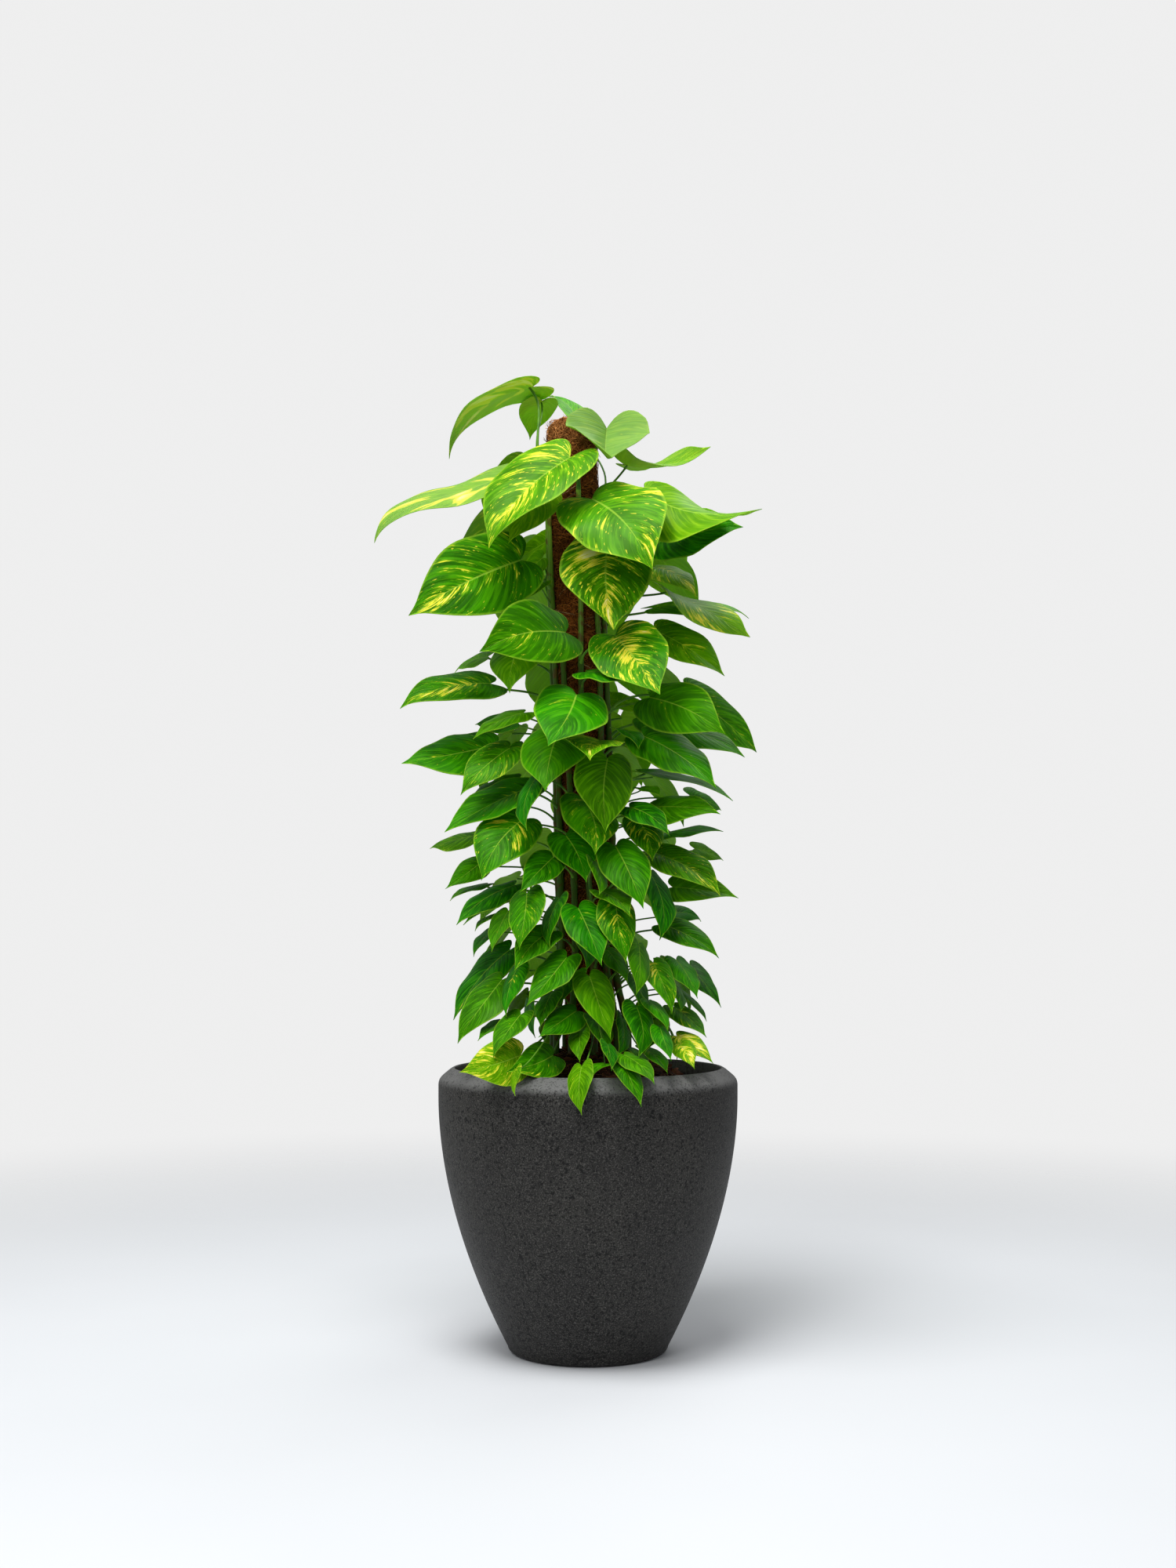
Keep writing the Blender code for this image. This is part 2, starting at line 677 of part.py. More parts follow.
def grow_plant():
    """Stems and leaves of every vine, each clear of the planter, soil, pole and the others."""
    stems = [Stem(index) for index in range(len(VINES))]
    room = Room()
    for shape in (planter_envelope(), soil_envelope(), pole_envelope()):
        room.add(shape, None, "fixed")
    for index, stem in enumerate(stems):
        points, radii = stem.path()
        room.add(tube(points, radii, STEM_SIDES, stem.outward(POLE_TOP)), index, "stem")
    vines = [[] for _ in stems]
    order = sorted(range(len(LEAVES)), key=lambda k: -LEAVES[k][4] * LEAVES[k][6])
    fronts = [partial(front_leaf, LEAVES[k], SEED + k) for k in order]
    backs = [partial(back_leaf, k) for k in reversed(range(BACK_LEAVES))]
    for makers, shifts in ((fronts, DEPTH_SHIFTS), (backs, range(BACK_TRIES))):
        screen = room.screen() if makers is backs else None
        for make_leaf in makers:
            found = find_place(room, stems, make_leaf, shifts, screen)
            if found is None:
                continue
            index, leaf, stalk = found
            room.add(blade(leaf), index, "blade")
            room.add(stalk.mesh(), index, "stalk")
            vines[index].append((leaf, stalk))
    return stems, vines


def planter_outline():
    """Radius and height from the middle of the base, up the outside and down to the floor."""
    foot = FOOT_DIAMETER / 2
    outer = [(0.0, 0.0), (foot - FOOT_ROUND, 0.0), (foot - 0.3 * FOOT_ROUND, 0.3 * FOOT_ROUND)]
    outer += [(flare(z), z) for z in np.linspace(FOOT_ROUND, FLARE_HEIGHT, WALL_STEPS)]
    edge = PLANTER_DIAMETER / 2
    outer += [(edge - x * MM, PLANTER_HEIGHT - drop * MM) for x, drop in RIM_BEVEL]
    return outer + inner_wall() + [(0.0, FLOOR)]


def flare(z):
    """Outer radius of the planter's wall at a height."""
    foot = FOOT_DIAMETER / 2
    climb = 1 - max(1 - z / FLARE_HEIGHT, 0.0) ** FLARE_POWER
    return foot + (PLANTER_DIAMETER / 2 - foot) * climb


def inner_wall():
    heights = np.linspace(FLARE_HEIGHT, FLOOR, WALL_STEPS // 2)
    return [(flare(z) - WALL, z) for z in heights]


def spin_solid(outline, sides):
    """Closed solid of revolution from an outline that starts and ends on the axis."""
    shape = bmesh.new()
    corners = [shape.verts.new((r, 0.0, z)) for r, z in outline]
    edges = [shape.edges.new(pair) for pair in zip(corners, corners[1:])]
    bmesh.ops.spin(
        shape,
        geom=corners + edges,
        cent=(0, 0, 0),
        axis=(0, 0, 1),
        angle=2 * math.pi,
        steps=sides,
        use_merge=True,
    )
    bmesh.ops.remove_doubles(shape, verts=shape.verts, dist=1e-6)
    bmesh.ops.recalc_face_normals(shape, faces=shape.faces)
    return shape


def shape_arrays(shape):
    """Corner points and faces of a bmesh, for the clearance tests."""
    shape.verts.index_update()
    corners = np.array([tuple(corner.co) for corner in shape.verts])
    faces = [tuple(corner.index for corner in face.verts) for face in shape.faces]
    shape.free()
    return corners, faces


def soil_outline():
    """Radius and height from the middle of the planter's floor to the top of the mound."""
    wall = [(r - GAP, z) for r, z in inner_wall()[::-1]]
    edge = wall[-1][0]
    outline = [(0.0, FLOOR + GAP), (wall[0][0], FLOOR + GAP)] + wall[1:]
    for ring in range(SOIL_RINGS):
        share = ring / SOIL_RINGS
        mound = 0.5 - 0.5 * math.cos(math.pi * share)
        outline.append((edge * (1 - share), SOIL_EDGE + (SOIL_CROWN - SOIL_EDGE) * mound))
    return outline + [(0.0, SOIL_CROWN)]


def soil_shape():
    """The mounded potting mix, with an uneven seeded surface inside its rim."""
    shape = spin_solid(soil_outline(), ROUND_SIDES)
    rng = Random(SEED)
    edge = PLANTER_DIAMETER / 2 - WALL
    for corner in sorted(shape.verts, key=lambda v: tuple(round(c, 5) for c in v.co)):
        away = math.hypot(corner.co.x, corner.co.y)
        if corner.co.z > SOIL_EDGE - MM and away < edge - 5 * MM:
            corner.co.z += rng.uniform(-1, 1) * SOIL_ROUGHNESS
    return shape


def pole_outline():
    """The coir sleeve: bore mouth, straight wall, domed top and the blind end of the bore."""
    bore = STAKE_RADIUS + GAP
    outline = [(0.0, STAKE_TOP + GAP), (bore, STAKE_TOP + GAP), (bore, POLE_FOOT)]
    outline += [(POLE_RADIUS, POLE_FOOT), (POLE_RADIUS, POLE_TOP - POLE_DOME)]
    for turn in np.radians(DOME_TURNS):
        height = POLE_TOP - POLE_DOME * (1 - math.sin(turn))
        outline.append((POLE_RADIUS * math.cos(turn), height))
    outline.append((0.0, POLE_TOP))
    return outline


def lean(shape):
    """Shears an upright shape along the pole's leaning axis."""
    for corner in shape.verts:
        corner.co.x += pole_axis(corner.co.z)[0]
    return shape


def planter_envelope():
    return shape_arrays(spin_solid(planter_outline(), ROUND_SIDES))


def soil_envelope():
    return shape_arrays(soil_shape())


def pole_envelope():
    return shape_arrays(lean(spin_solid(pole_outline(), POLE_SIDES)))


def material(name, color, roughness):
    """A Principled material with a colour and a roughness."""
    finish = bpy.data.materials.new(name)
    finish.use_nodes = True
    surface = finish.node_tree.nodes["Principled BSDF"]
    surface.inputs["Base Color"].default_value = (*color, 1.0)
    surface.inputs["Roughness"].default_value = roughness
    return finish


def add_object(name, shape, finish=None, smooth=False):
    """Turns a bmesh into a named object in the scene."""
    mesh = bpy.data.meshes.new(name)
    shape.to_mesh(mesh)
    shape.free()
    if smooth:
        mesh.shade_smooth()
        mesh.set_sharp_from_angle(angle=math.radians(35))
    if finish:
        mesh.materials.append(finish)
    thing = bpy.data.objects.new(name, mesh)
    bpy.context.scene.collection.objects.link(thing)
    return thing


def from_arrays(arrays):
    """A bmesh from a pair of corner and face arrays."""
    shape = bmesh.new()
    corners, faces = arrays
    made = [shape.verts.new(corner) for corner in corners]
    for face in faces:
        shape.faces.new([made[k] for k in face])
    return shape


def apply_boolean(thing, operation, group):
    """Applies one exact Boolean with all objects of a collection."""
    modifier = thing.modifiers.new(operation.lower(), "BOOLEAN")
    modifier.operation = operation
    modifier.solver = "EXACT"
    modifier.operand_type = "COLLECTION"
    modifier.collection = group
    graph = bpy.context.evaluated_depsgraph_get()
    result = bpy.data.meshes.new_from_object(thing.evaluated_get(graph))
    thing.modifiers.clear()
    thing.data = result


def build_planter():
    finish = material("planter_anthracite", (0.038, 0.038, 0.036), 0.62)
    add_object("planter", spin_solid(planter_outline(), ROUND_SIDES), finish, smooth=True)


def stem_hole(stem):
    """The cutter of a stem's hole in the potting mix."""
    foot = stem.point(STEM_FOOT) - (0, 0, GAP)
    mouth = stem.point(STEM_FOOT) + (0, 0, HOLE_RISE)
    width = STEM_RADIUS + GAP
    return tube((foot, mouth), (width, width), STEM_SIDES, stem.outward(POLE_TOP))


def build_soil(stems):
    """The potting mix with plain holes for the pole, its stake and the stems."""
    finish = material("potting_mix", (0.045, 0.026, 0.016), 0.95)
    soil = add_object("soil", soil_shape(), finish)
    stake, sleeve = STAKE_RADIUS + GAP, POLE_RADIUS + GAP
    bottom, step, mouth = STAKE_FOOT - GAP, POLE_FOOT - GAP, PLANTER_HEIGHT + HOLE_RISE
    outline = [(0.0, bottom), (stake, bottom), (stake, step)]
    outline += [(sleeve, step), (sleeve, mouth), (0.0, mouth)]
    pole_hole = lean(spin_solid(outline, POLE_SIDES))
    cutters = bpy.data.collections.new("soil_holes")
    shapes = [pole_hole] + [from_arrays(stem_hole(stem)) for stem in stems]
    holes = [add_object("hole", shape) for shape in shapes]
    for hole in holes:
        cutters.objects.link(hole)
    apply_boolean(soil, "DIFFERENCE", cutters)
    remove_all(holes)
    bpy.data.collections.remove(cutters)


def remove_all(things):
    for thing in things:
        bpy.data.objects.remove(thing)


def build_pole():
    sleeve = material("coir", (0.21, 0.10, 0.035), 0.95)
    add_object("coir_wrap", lean(spin_solid(pole_outline(), POLE_SIDES)), sleeve, smooth=True)
    inner = material("stake_wood", (0.33, 0.22, 0.12), 0.7)
    stake = (
        (0.0, STAKE_FOOT),
        (STAKE_RADIUS, STAKE_FOOT),
        (STAKE_RADIUS, STAKE_TOP),
        (0.0, STAKE_TOP),
    )
    add_object("pole_stake", lean(spin_solid(stake, POLE_SIDES)), inner, smooth=True)


def build_vine(index, stem, leaves, finish):
    """One solid: the stem, its leaf stalks and blades joined by a single union."""
    points, radii = stem.path()
    trunk = from_arrays(tube(points, radii, STEM_SIDES, stem.outward(POLE_TOP)))
    vine = add_object(f"vine_{index + 1:02d}", trunk, finish)
    group = bpy.data.collections.new("vine_parts")
    pieces = []
    for leaf, stalk in leaves:
        for arrays in (stalk.mesh(), blade(leaf)):
            piece = add_object("piece", from_arrays(arrays))
            group.objects.link(piece)
            pieces.append(piece)
    apply_boolean(vine, "UNION", group)
    remove_all(pieces)
    bpy.data.collections.remove(group)


def main():
    remove_all(list(bpy.data.objects))
    stems, vines = grow_plant()
    build_planter()
    build_soil(stems)
    build_pole()
    for index, (stem, leaves) in enumerate(zip(stems, vines)):
        shade = 0.9 + 0.02 * index
        finish = material(f"pothos_{index + 1:02d}", (0.05 * shade, 0.19 * shade, 0.022), 0.38)
        build_vine(index, stem, leaves, finish)


main()
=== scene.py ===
"""Looks of a potted pothos on its coir pole: leaves, stems, coir, potting mix and planter."""

import math
from random import Random

import bmesh
import bpy
import numpy as np
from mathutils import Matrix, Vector, noise


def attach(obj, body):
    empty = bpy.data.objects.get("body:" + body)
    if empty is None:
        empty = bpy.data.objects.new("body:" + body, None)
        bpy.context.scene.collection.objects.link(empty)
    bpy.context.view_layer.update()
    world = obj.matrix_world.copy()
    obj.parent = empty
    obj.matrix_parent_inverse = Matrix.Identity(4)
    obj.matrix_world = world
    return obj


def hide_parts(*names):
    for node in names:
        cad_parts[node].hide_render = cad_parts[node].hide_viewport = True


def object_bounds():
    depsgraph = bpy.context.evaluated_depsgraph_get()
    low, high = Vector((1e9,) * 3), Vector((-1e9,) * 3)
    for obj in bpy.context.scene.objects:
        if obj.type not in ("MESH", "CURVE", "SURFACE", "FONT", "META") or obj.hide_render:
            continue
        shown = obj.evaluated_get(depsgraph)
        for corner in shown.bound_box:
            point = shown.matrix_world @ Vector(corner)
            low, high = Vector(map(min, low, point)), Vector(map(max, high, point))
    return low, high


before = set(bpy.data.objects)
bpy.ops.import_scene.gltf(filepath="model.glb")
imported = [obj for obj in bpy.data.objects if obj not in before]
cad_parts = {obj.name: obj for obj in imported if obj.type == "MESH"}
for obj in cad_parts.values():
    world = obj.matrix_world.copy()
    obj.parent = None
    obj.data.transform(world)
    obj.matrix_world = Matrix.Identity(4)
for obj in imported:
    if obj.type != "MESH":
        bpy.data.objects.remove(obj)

MM = 0.001
LOW_CORNER, HIGH_CORNER = [np.array(corner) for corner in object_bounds()]
# Seeds: the first for the leaves of the front, the others added to it
SEED = 11
BACK_SEED = 5000
VINE_SEED = 900
CHIP_SEED = 31
FIBRE_SEED = 77

# The eye of the front view, level with the middle of the plant
EYE = np.array((0.0, -2.7, 0.62))
CAMERA_LENS = 43.0
CAMERA_RISE = 0.0865

# Soft lights: place, aim, diameter and power
LIGHTS = (
    ("top_light", (-0.5, -1.1, 4.2), (0.0, 0.0, 0.7), 1.8, 150),
    ("key_light", (-1.2, -3.0, 2.6), (0.0, 0.0, 0.8), 1.4, 40),
    ("back_light", (0.9, 1.3, 3.0), (0.0, 0.0, 1.0), 1.6, 16),
)
# Colour and strength of the light from all round, and of the backdrop
AMBIENT = ((0.96, 0.98, 1.0, 1.0), 0.36)
BACKDROP = ((1.0, 1.0, 1.0, 1.0), 0.86)
# Distances from the planter's axis at which the floor starts to fade and is gone
FLOOR_FADE = (0.8, 3.0)

# Gap between solids that stand against each other
GAP = 0.3 * MM

# Planter: a round tub that flares from its foot to a bevelled rim
PLANTER_DIAMETER = 430 * MM
PLANTER_HEIGHT = 408 * MM
PLANTER_SIDES = 168
FOOT_DIAMETER = 222 * MM
FOOT_ROUND = 9 * MM
WALL = 24 * MM
FLOOR = 26 * MM
FLARE_HEIGHT = 364 * MM
FLARE_POWER = 1.85
INNER_RISE = 22 * MM
# Points of its outline along the rounded foot, the wall, the rim and the inner wall
FOOT_POINTS, WALL_POINTS, RIM_POINTS, INNER_POINTS = 7, 64, 31, 30
# Rounded rim: how far in from the widest edge and how far below the top, in mm
RIM = (
    (0, 24), (0.5, 20), (2.2, 15.8), (5.4, 12), (10, 8), (14.6, 4.2), (18.4, 1.5), (21, 0.2),
    (22.6, 0.1), (23.6, 1), (24, 3),
)

# Potting mix: its mound, how far and how wide it sinks at the wall, and what lies on it
SOIL_EDGE = 392 * MM
SOIL_CROWN = 438 * MM
SOIL_SIDES = 132
SINK = 27 * MM
SINK_WIDTH = 90 * MM
# Its lumps: shift of the noise, cycles for each metre and height in mm
SOIL_LUMPS = ((0, 55, 3.2), (5, 170, 1.4))
CHIPS = 900
CHIP_REACH = 187 * MM
ROOTLETS = 170
ROOTLET_REACH = 183 * MM
ROOTLET_LIMIT = 186 * MM

# Coir pole: a sleeve that leans a little to the left, and its fibres
POLE_RADIUS = 35.5 * MM
POLE_FOOT = 300 * MM
POLE_TOP = 1342 * MM
POLE_DOME = 22 * MM
POLE_SIDES = 84
POLE_SLOPE = 0.032
POLE_X_AT_SOIL = 5.3 * MM
SOIL_LINE = 430 * MM
# Lumps of the sleeve: cycles for each metre and height in mm, and how far they are sunk in mm
COIR_LUMPS = ((60, 0.9), (240, 0.5))
COIR_SINK = 0.6
FIBRES = 2600
STRAYS = 700

# Vines: the bearing of each stem round the pole in degrees, and the height it climbs to in mm
VINES = (
    (207, 1255), (240, 1050), (275, 1245), (311, 1180), (342, 1105), (20, 1235), (58, 960),
    (95, 1200), (132, 1010), (170, 1215),
)
# Stems: upright in the potting mix, they bend to the pole and sway a little as they climb it
STEM_FOOT = 375 * MM
STEM_BEND_LOW = 455 * MM
STEM_BEND_HIGH = 550 * MM
STEM_SPREAD = 15 * MM
STEM_RADIUS = 4.8 * MM
STEM_TIP_RADIUS = 3.2 * MM
STEM_SWAY = math.radians(5)
TIP_TAPER = 16 * MM

# Nodes of the stems: one at each leaf stalk, and bare ones at even steps well apart from them
NODE_STEP = 62 * MM
NODE_APART = 25 * MM
BARE_TIP = 30 * MM
NODE_SWELL = 4.5 * MM
ROOT_BELOW = 4 * MM

# Sides of the round stems, stalks and roots, and of fibres and rootlets, and points along them
STEM_RING = 10
STALK_RING = 8
ROOT_RING = 4
THREAD_RING = 4
STEM_POINTS = 110
STALK_POINTS = 16
ROOT_POINTS = 9
FIBRE_POINTS = 5
ROOTLET_POINTS = 8

# Leaf stalks: they thicken with the length of their blade and hold it just past its joint.
# The seat follows the run of the midrib up to a share of it: for blades longer than, share
STALK_LEAST = 0.8 * MM
STALK_GROWTH = 0.0065
STALK_TIP = 0.9
STALK_SINK = 0.1 * MM
STALK_HOLD = 5 * MM
FIRST_NODE = STEM_BEND_LOW + 12 * MM
LAST_NODE = 5 * MM
NODE_DROP = 30
SHORT_BLADE = 84 * MM
MEDIUM_BLADE = 98 * MM
LARGE_BLADE = 143 * MM
SEAT_RUNS = ((LARGE_BLADE, 0.13), (MEDIUM_BLADE, 0.39), (0, 0.25))

# Blades: thickness, side veins, least and greatest width to length, and seeded ranges of the
# form: bend and curl down and fold across in degrees, cup, wave of the edge with its count
# and phases, skew, and twist from joint to tip in degrees
BLADE = 0.7 * MM
VEINS = 17
NARROW_BLADE = 0.60
BROAD_BLADE = 0.86
FORM = {
    "bend": (14, 34), "curl": (-6, 28), "fold": (6, 15), "cup": (0.06, 0.18),
    "wave": (0.012, 0.035), "waves": (1.4, 2.4), "phase": (0, 6.3), "other_phase": (0, 6.3),
    "skew": (-0.10, 0.10), "twist": (-16, 16),
}
# Short blades narrow more towards the tip, and no blade is turned quite edge on
TAPER = 0.28
TAPER_FROM = 70 * MM
TAPER_TO = 150 * MM
LEAST_FACING = 0.12

# Half outline of a blade: along the midrib, across (half width 1), foot of the side vein
HALF_OUTLINE = (
    (0.00, 0.00, 0.00), (-0.09, 0.18, 0.00), (-0.13, 0.42, 0.00), (-0.08, 0.68, 0.00),
    (0.06, 0.88, 0.05), (0.22, 0.98, 0.13), (0.39, 1.00, 0.25), (0.55, 0.89, 0.39),
    (0.69, 0.66, 0.53), (0.81, 0.39, 0.68), (0.91, 0.14, 0.83), (1.00, 0.00, 1.00),
)

# How blades, and stems and stalks, let light through and shine
BLADE_LIGHT = dict(
    Subsurface_Weight=0.3, Subsurface_Scale=2.2 * MM, Subsurface_Radius=(0.7, 1.0, 0.25),
    Specular_IOR_Level=0.08, Specular_Tint=(0.8, 1.0, 0.35, 1.0),
)
STEM_LIGHT = dict(Subsurface_Weight=0.1, Subsurface_Scale=1 * MM, Specular_IOR_Level=0.2)

# Leaves in the front view, in mm: joint x and z, tip x and z, width as seen, depth of the
# joint behind the pole's axis, length; then the vine. Some have looks of their own: age from
# deep green 0 to yellow-green 1, with a pale painted sheen above 1, and variegation from 0 to 1.
# Last comes what is a leaf's own in its form: under=1 where its underside shows, toward=-1
# where its tip comes nearer the eye, drop in mm from its joint to its node, turned in degrees
# from facing the eye, or a value in place of one drawn from FORM.
LEAVES = (
    # Crown
    (-80, 1388, -200, 1284, 32, 20, 174, 1, 0.95, 1.0, dict(under=1, bend=46, twist=36, fold=10)),
    (-66, 1368, -84, 1311, 56, 60, 88, 1, 0.95, 0.3, dict(under=1)),
    (-15, 1340, -58, 1374, 20, 70, 90, 6, 0.25, 0.1),
    (-116, 1262, -308, 1163, 38, -20, 224, 1, 1.4, 0.95, dict(bend=-26, fold=8, curl=85)),
    (-26, 1286, -143, 1155, 82, -100, 187, 3, 0.35, 0.74, dict(fold=24, skew=-0.08)),
    (-60, 1235, -115, 1162, 60, -55, 105, 1, 0.9, 0.25),
    (27, 1328, 35, 1286, 124, -20, 138, 3, 1.5, 0.3, dict(bend=-80, fold=42, turned=-18)),
    (52, 1276, 177, 1302, 14, -10, 134, 6, 1.25, 0.2, dict(bend=-50, fold=25, twist=-90)),
    (90, 1230, 251, 1212, 38, -110, 168, 4, 0.7, 0.12, dict(bend=-46, fold=-8, twist=44)),
    (107, 1166, 224, 1186, 66, -30, 130, 6, 0.05, 0.04),
    (6, 1226, 93, 1125, 130, -110, 166, 3, 0.3, 0.58, dict(skew=0.06)),
    (28, 1160, 37, 1037, 126, -95, 148, 3, 0.2, 0.8),
    (97, 1128, 157, 1084, 40, -20, 95, 5, 0.7, 0.62),
    (112, 1096, 234, 1027, 42, -30, 145, 5, 0.7, 0.5, dict(bend=0, fold=6, twist=-60, skew=0.05)),
    (96, 1070, 232, 1054, 14, 20, 142, 6, 0.3, 0.2),
    (40, 1029, 104, 944, 98, -115, 138, 3, 0.15, 0.6),
    (-33, 1034, -157, 1006, 92, -110, 145, 3, 0.18, 0.42),
    (-98, 1138, -259, 1058, 112, -80, 188, 1, 0.12, 0.48, dict(skew=-0.02)),
    (-66, 1141, -97, 1104, 30, 1, 60, 10, 0.5, 0.2),
    (-68, 1104, -107, 1073, 25, -34, 75, 1, 0.55, 0.2),
    (-57, 1166, -102, 1138, 35, 30, 80, 10, 0.6, 0.25, dict(drop=85)),
    (99, 1035, 197, 971, 51, -20, 130, 5, 0.5, 0.4),
    (0, 977, 90, 948, 26, -121, 110, 3, 0.05, 0.12),
    (34, 937, 87, 923, 24, 39, 80, 7, 0.75, 0.15),
    (47, 893, 73, 864, 26, -75, 70, 4),
    # Upper middle, left
    (-141, 960, -271, 924, 47, -10, 142, 10, 0.15, 0.52),
    (-145, 999, -192, 976, 14, 30, 75, 10, 0.45, 0.1),
    (-96, 1017, -113, 946, 73, -20, 105, 1, 0.45, 0.08),
    (-17, 944, -58, 870, 99, -130, 128, 3, 0.08, 0.1),
    (-43, 889, -62, 805, 90, -100, 118, 2),
    (-102, 904, -163, 901, 34, 20, 85, 10),
    (-138, 870, -269, 845, 60, -20, 140, 1, 0.1, 0.32, dict(skew=0.08)),
    (-93, 918, -166, 880, 25, -70, 95, 1, 0.3, 0.15),
    (-113, 867, -184, 799, 56, -80, 108, 1, 0.2, 0.52),
    (-93, 872, -124, 827, 28, 25, 75, 10, dict(toward=-1)),
    (17, 878, 3, 849, 79, -118, 105, 3, 0.35, 0.82),
    # Middle
    (28, 852, 25, 745, 84, -111, 120, 3, 0.32, 0.05),
    (-6, 793, 10, 713, 79, -100, 106, 3, 0.2, 0.5),
    (-32, 741, -2, 673, 66, -80, 96, 2),
    (-96, 763, -154, 676, 79, -95, 114, 2, 0.12, 0.36),
    (-85, 810, -207, 746, 47, -55, 142, 1, 0.12, 0.2),
    (-99, 824, -171, 789, 28, -10, 92, 10),
    (-73, 827, -88, 748, 32, -110, 95, 2),
    (-158, 742, -228, 722, 25, 10, 85, 10, 0.35, 0.3),
    (-153, 703, -206, 664, 40, -20, 82, 10),
    (-147, 671, -199, 647, 12, 0, 65, 10),
    (-107, 669, -190, 612, 36, -55, 108, 1),
    (-110, 646, -180, 612, 10, -10, 85, 10),
    (-113, 632, -163, 603, 10, -42, 75, 1),
    (-115, 632, -139, 573, 32, -95, 78, 1),
    (-133, 607, -165, 566, 20, -20, 65, 10),
    (-88, 658, -99, 576, 54, -120, 94, 2, 0.15, 0.42),
    (-51, 709, -99, 658, 51, -95, 86, 2),
    # Lower middle
    (-57, 601, -107, 545, 51, -115, 90, 2, 0.15, 0.12),
    (-42, 649, -54, 579, 28, -108, 80, 2),
    (-14, 636, 20, 553, 61, -135, 100, 3),
    (40, 646, 55, 556, 57, -130, 98, 3, 0.12, 0.48),
    (-9, 590, -3, 545, 29, -80, 66, 3),
    (-31, 565, -89, 495, 47, -130, 98, 2, 0.12, 0.16),
    (-102, 550, -118, 480, 31, -108, 80, 2),
    (-113, 576, -194, 475, 40, -12, 134, 10),
    (-124, 533, -188, 441, 54, -80, 118, 1),
    (-17, 545, -40, 495, 34, -80, 70, 2),
    (-51, 516, -69, 464, 34, -118, 70, 2),
    (-85, 505, -76, 449, 17, -77, 65, 2),
    (2, 538, 33, 446, 52, -125, 103, 3, 0.38, 0.1),
    # Skirt over the soil and the rim
    (-124, 473, -159, 445, 17, -110, 56, 1),
    (-97, 483, -137, 420, 37, -143, 84, 2),
    (-98, 424, -186, 400, 68, -165, 96, 2, 0.7, 0.74, dict(skew=0.06)),
    (-51, 424, -119, 400, 57, -131, 92, 2, 0.15, 0.34),
    (-104, 404, -105, 366, 14, -213, 48, 2, 0.6, 0.6),
    (-9, 408, -9, 338, 37, -200, 76, 3, 0.42, 0.1),
    (25, 412, 8, 396, 16, -160, 42, 3),
    (-17, 488, -72, 450, 47, -125, 82, 3, 0.1, 0.1),
    (-11, 460, -12, 414, 32, -130, 62, 3, 0.3, 0.1),
    (8, 477, 24, 426, 34, -128, 68, 3),
    (28, 440, 34, 402, 23, -190, 56, 3, dict(drop=-75)),
    (49, 477, 41, 423, 25, -110, 66, 3),
    # Right side, upper
    (90, 940, 198, 887, 81, -70, 138, 4),
    (147, 946, 243, 861, 56, 30, 138, 6, 0.2, 0.4),
    (90, 912, 226, 854, 45, -10, 152, 5, 0.15, 0.26),
    (81, 884, 185, 809, 57, -80, 138, 4),
    (79, 833, 209, 791, 14, -20, 142, 5),
    (76, 810, 105, 798, 16, -80, 50, 4),
    (93, 782, 191, 772, 47, -70, 112, 4),
    (147, 799, 192, 777, 28, 40, 72, 6),
    (60, 782, 118, 740, 40, -115, 88, 4),
    (99, 739, 195, 747, 16, -10, 102, 5),
    (71, 765, 93, 703, 52, -62, 90, 4, 0.15, 0.5),
    # Right side, lower
    (40, 725, 80, 635, 70, -120, 110, 3),
    (96, 716, 191, 654, 51, -60, 120, 5, 0.22, 0.56),
    (154, 722, 195, 705, 20, 30, 60, 6, 0.45, 0.2),
    (122, 667, 217, 651, 45, -30, 104, 5, 0.35, 0.1, dict(skew=-0.08)),
    (90, 686, 103, 590, 43, -95, 102, 4),
    (20, 660, 61, 623, 34, -128, 76, 3),
    (8, 703, 16, 655, 23, -130, 66, 3, dict(drop=85)),
    (111, 612, 189, 564, 40, -55, 98, 5, 0.12, 0.3),
    (119, 629, 163, 617, 22, 20, 62, 6),
    (28, 576, 57, 528, 32, -80, 70, 3),
    (73, 584, 69, 511, 38, -135, 82, 4),
    (94, 558, 121, 483, 41, -105, 86, 4, 0.2, 0.36),
    (70, 533, 79, 469, 25, -81, 76, 4),
    (88, 502, 115, 458, 23, -123, 62, 4, dict(drop=-75)),
    (147, 554, 192, 493, 32, -10, 86, 5),
    (127, 562, 158, 506, 36, -70, 76, 5),
    (127, 524, 133, 486, 20, -70, 55, 5),
    (133, 520, 171, 473, 12, -20, 66, 5),
    (124, 494, 171, 450, 32, -55, 76, 5, 0.15, 0.4),
    (70, 494, 72, 420, 42, -140, 84, 4),
    # Right side of the skirt
    (128, 452, 181, 412, 36, -90, 76, 4, 0.4, 0.82),
    (133, 440, 154, 404, 34, -120, 60, 4, 0.5, 0.7),
    (96, 466, 81, 426, 40, -120, 60, 4),
    (104, 463, 120, 416, 28, -155, 62, 5),
    (81, 434, 115, 398, 23, -132, 60, 4, 0.15, 0.3),
    (52, 425, 96, 382, 32, -183, 72, 3),
    (51, 410, 77, 350, 32, -195, 74, 3, 0.12, 0.26),
    (62, 434, 85, 402, 16, -110, 50, 4),
)

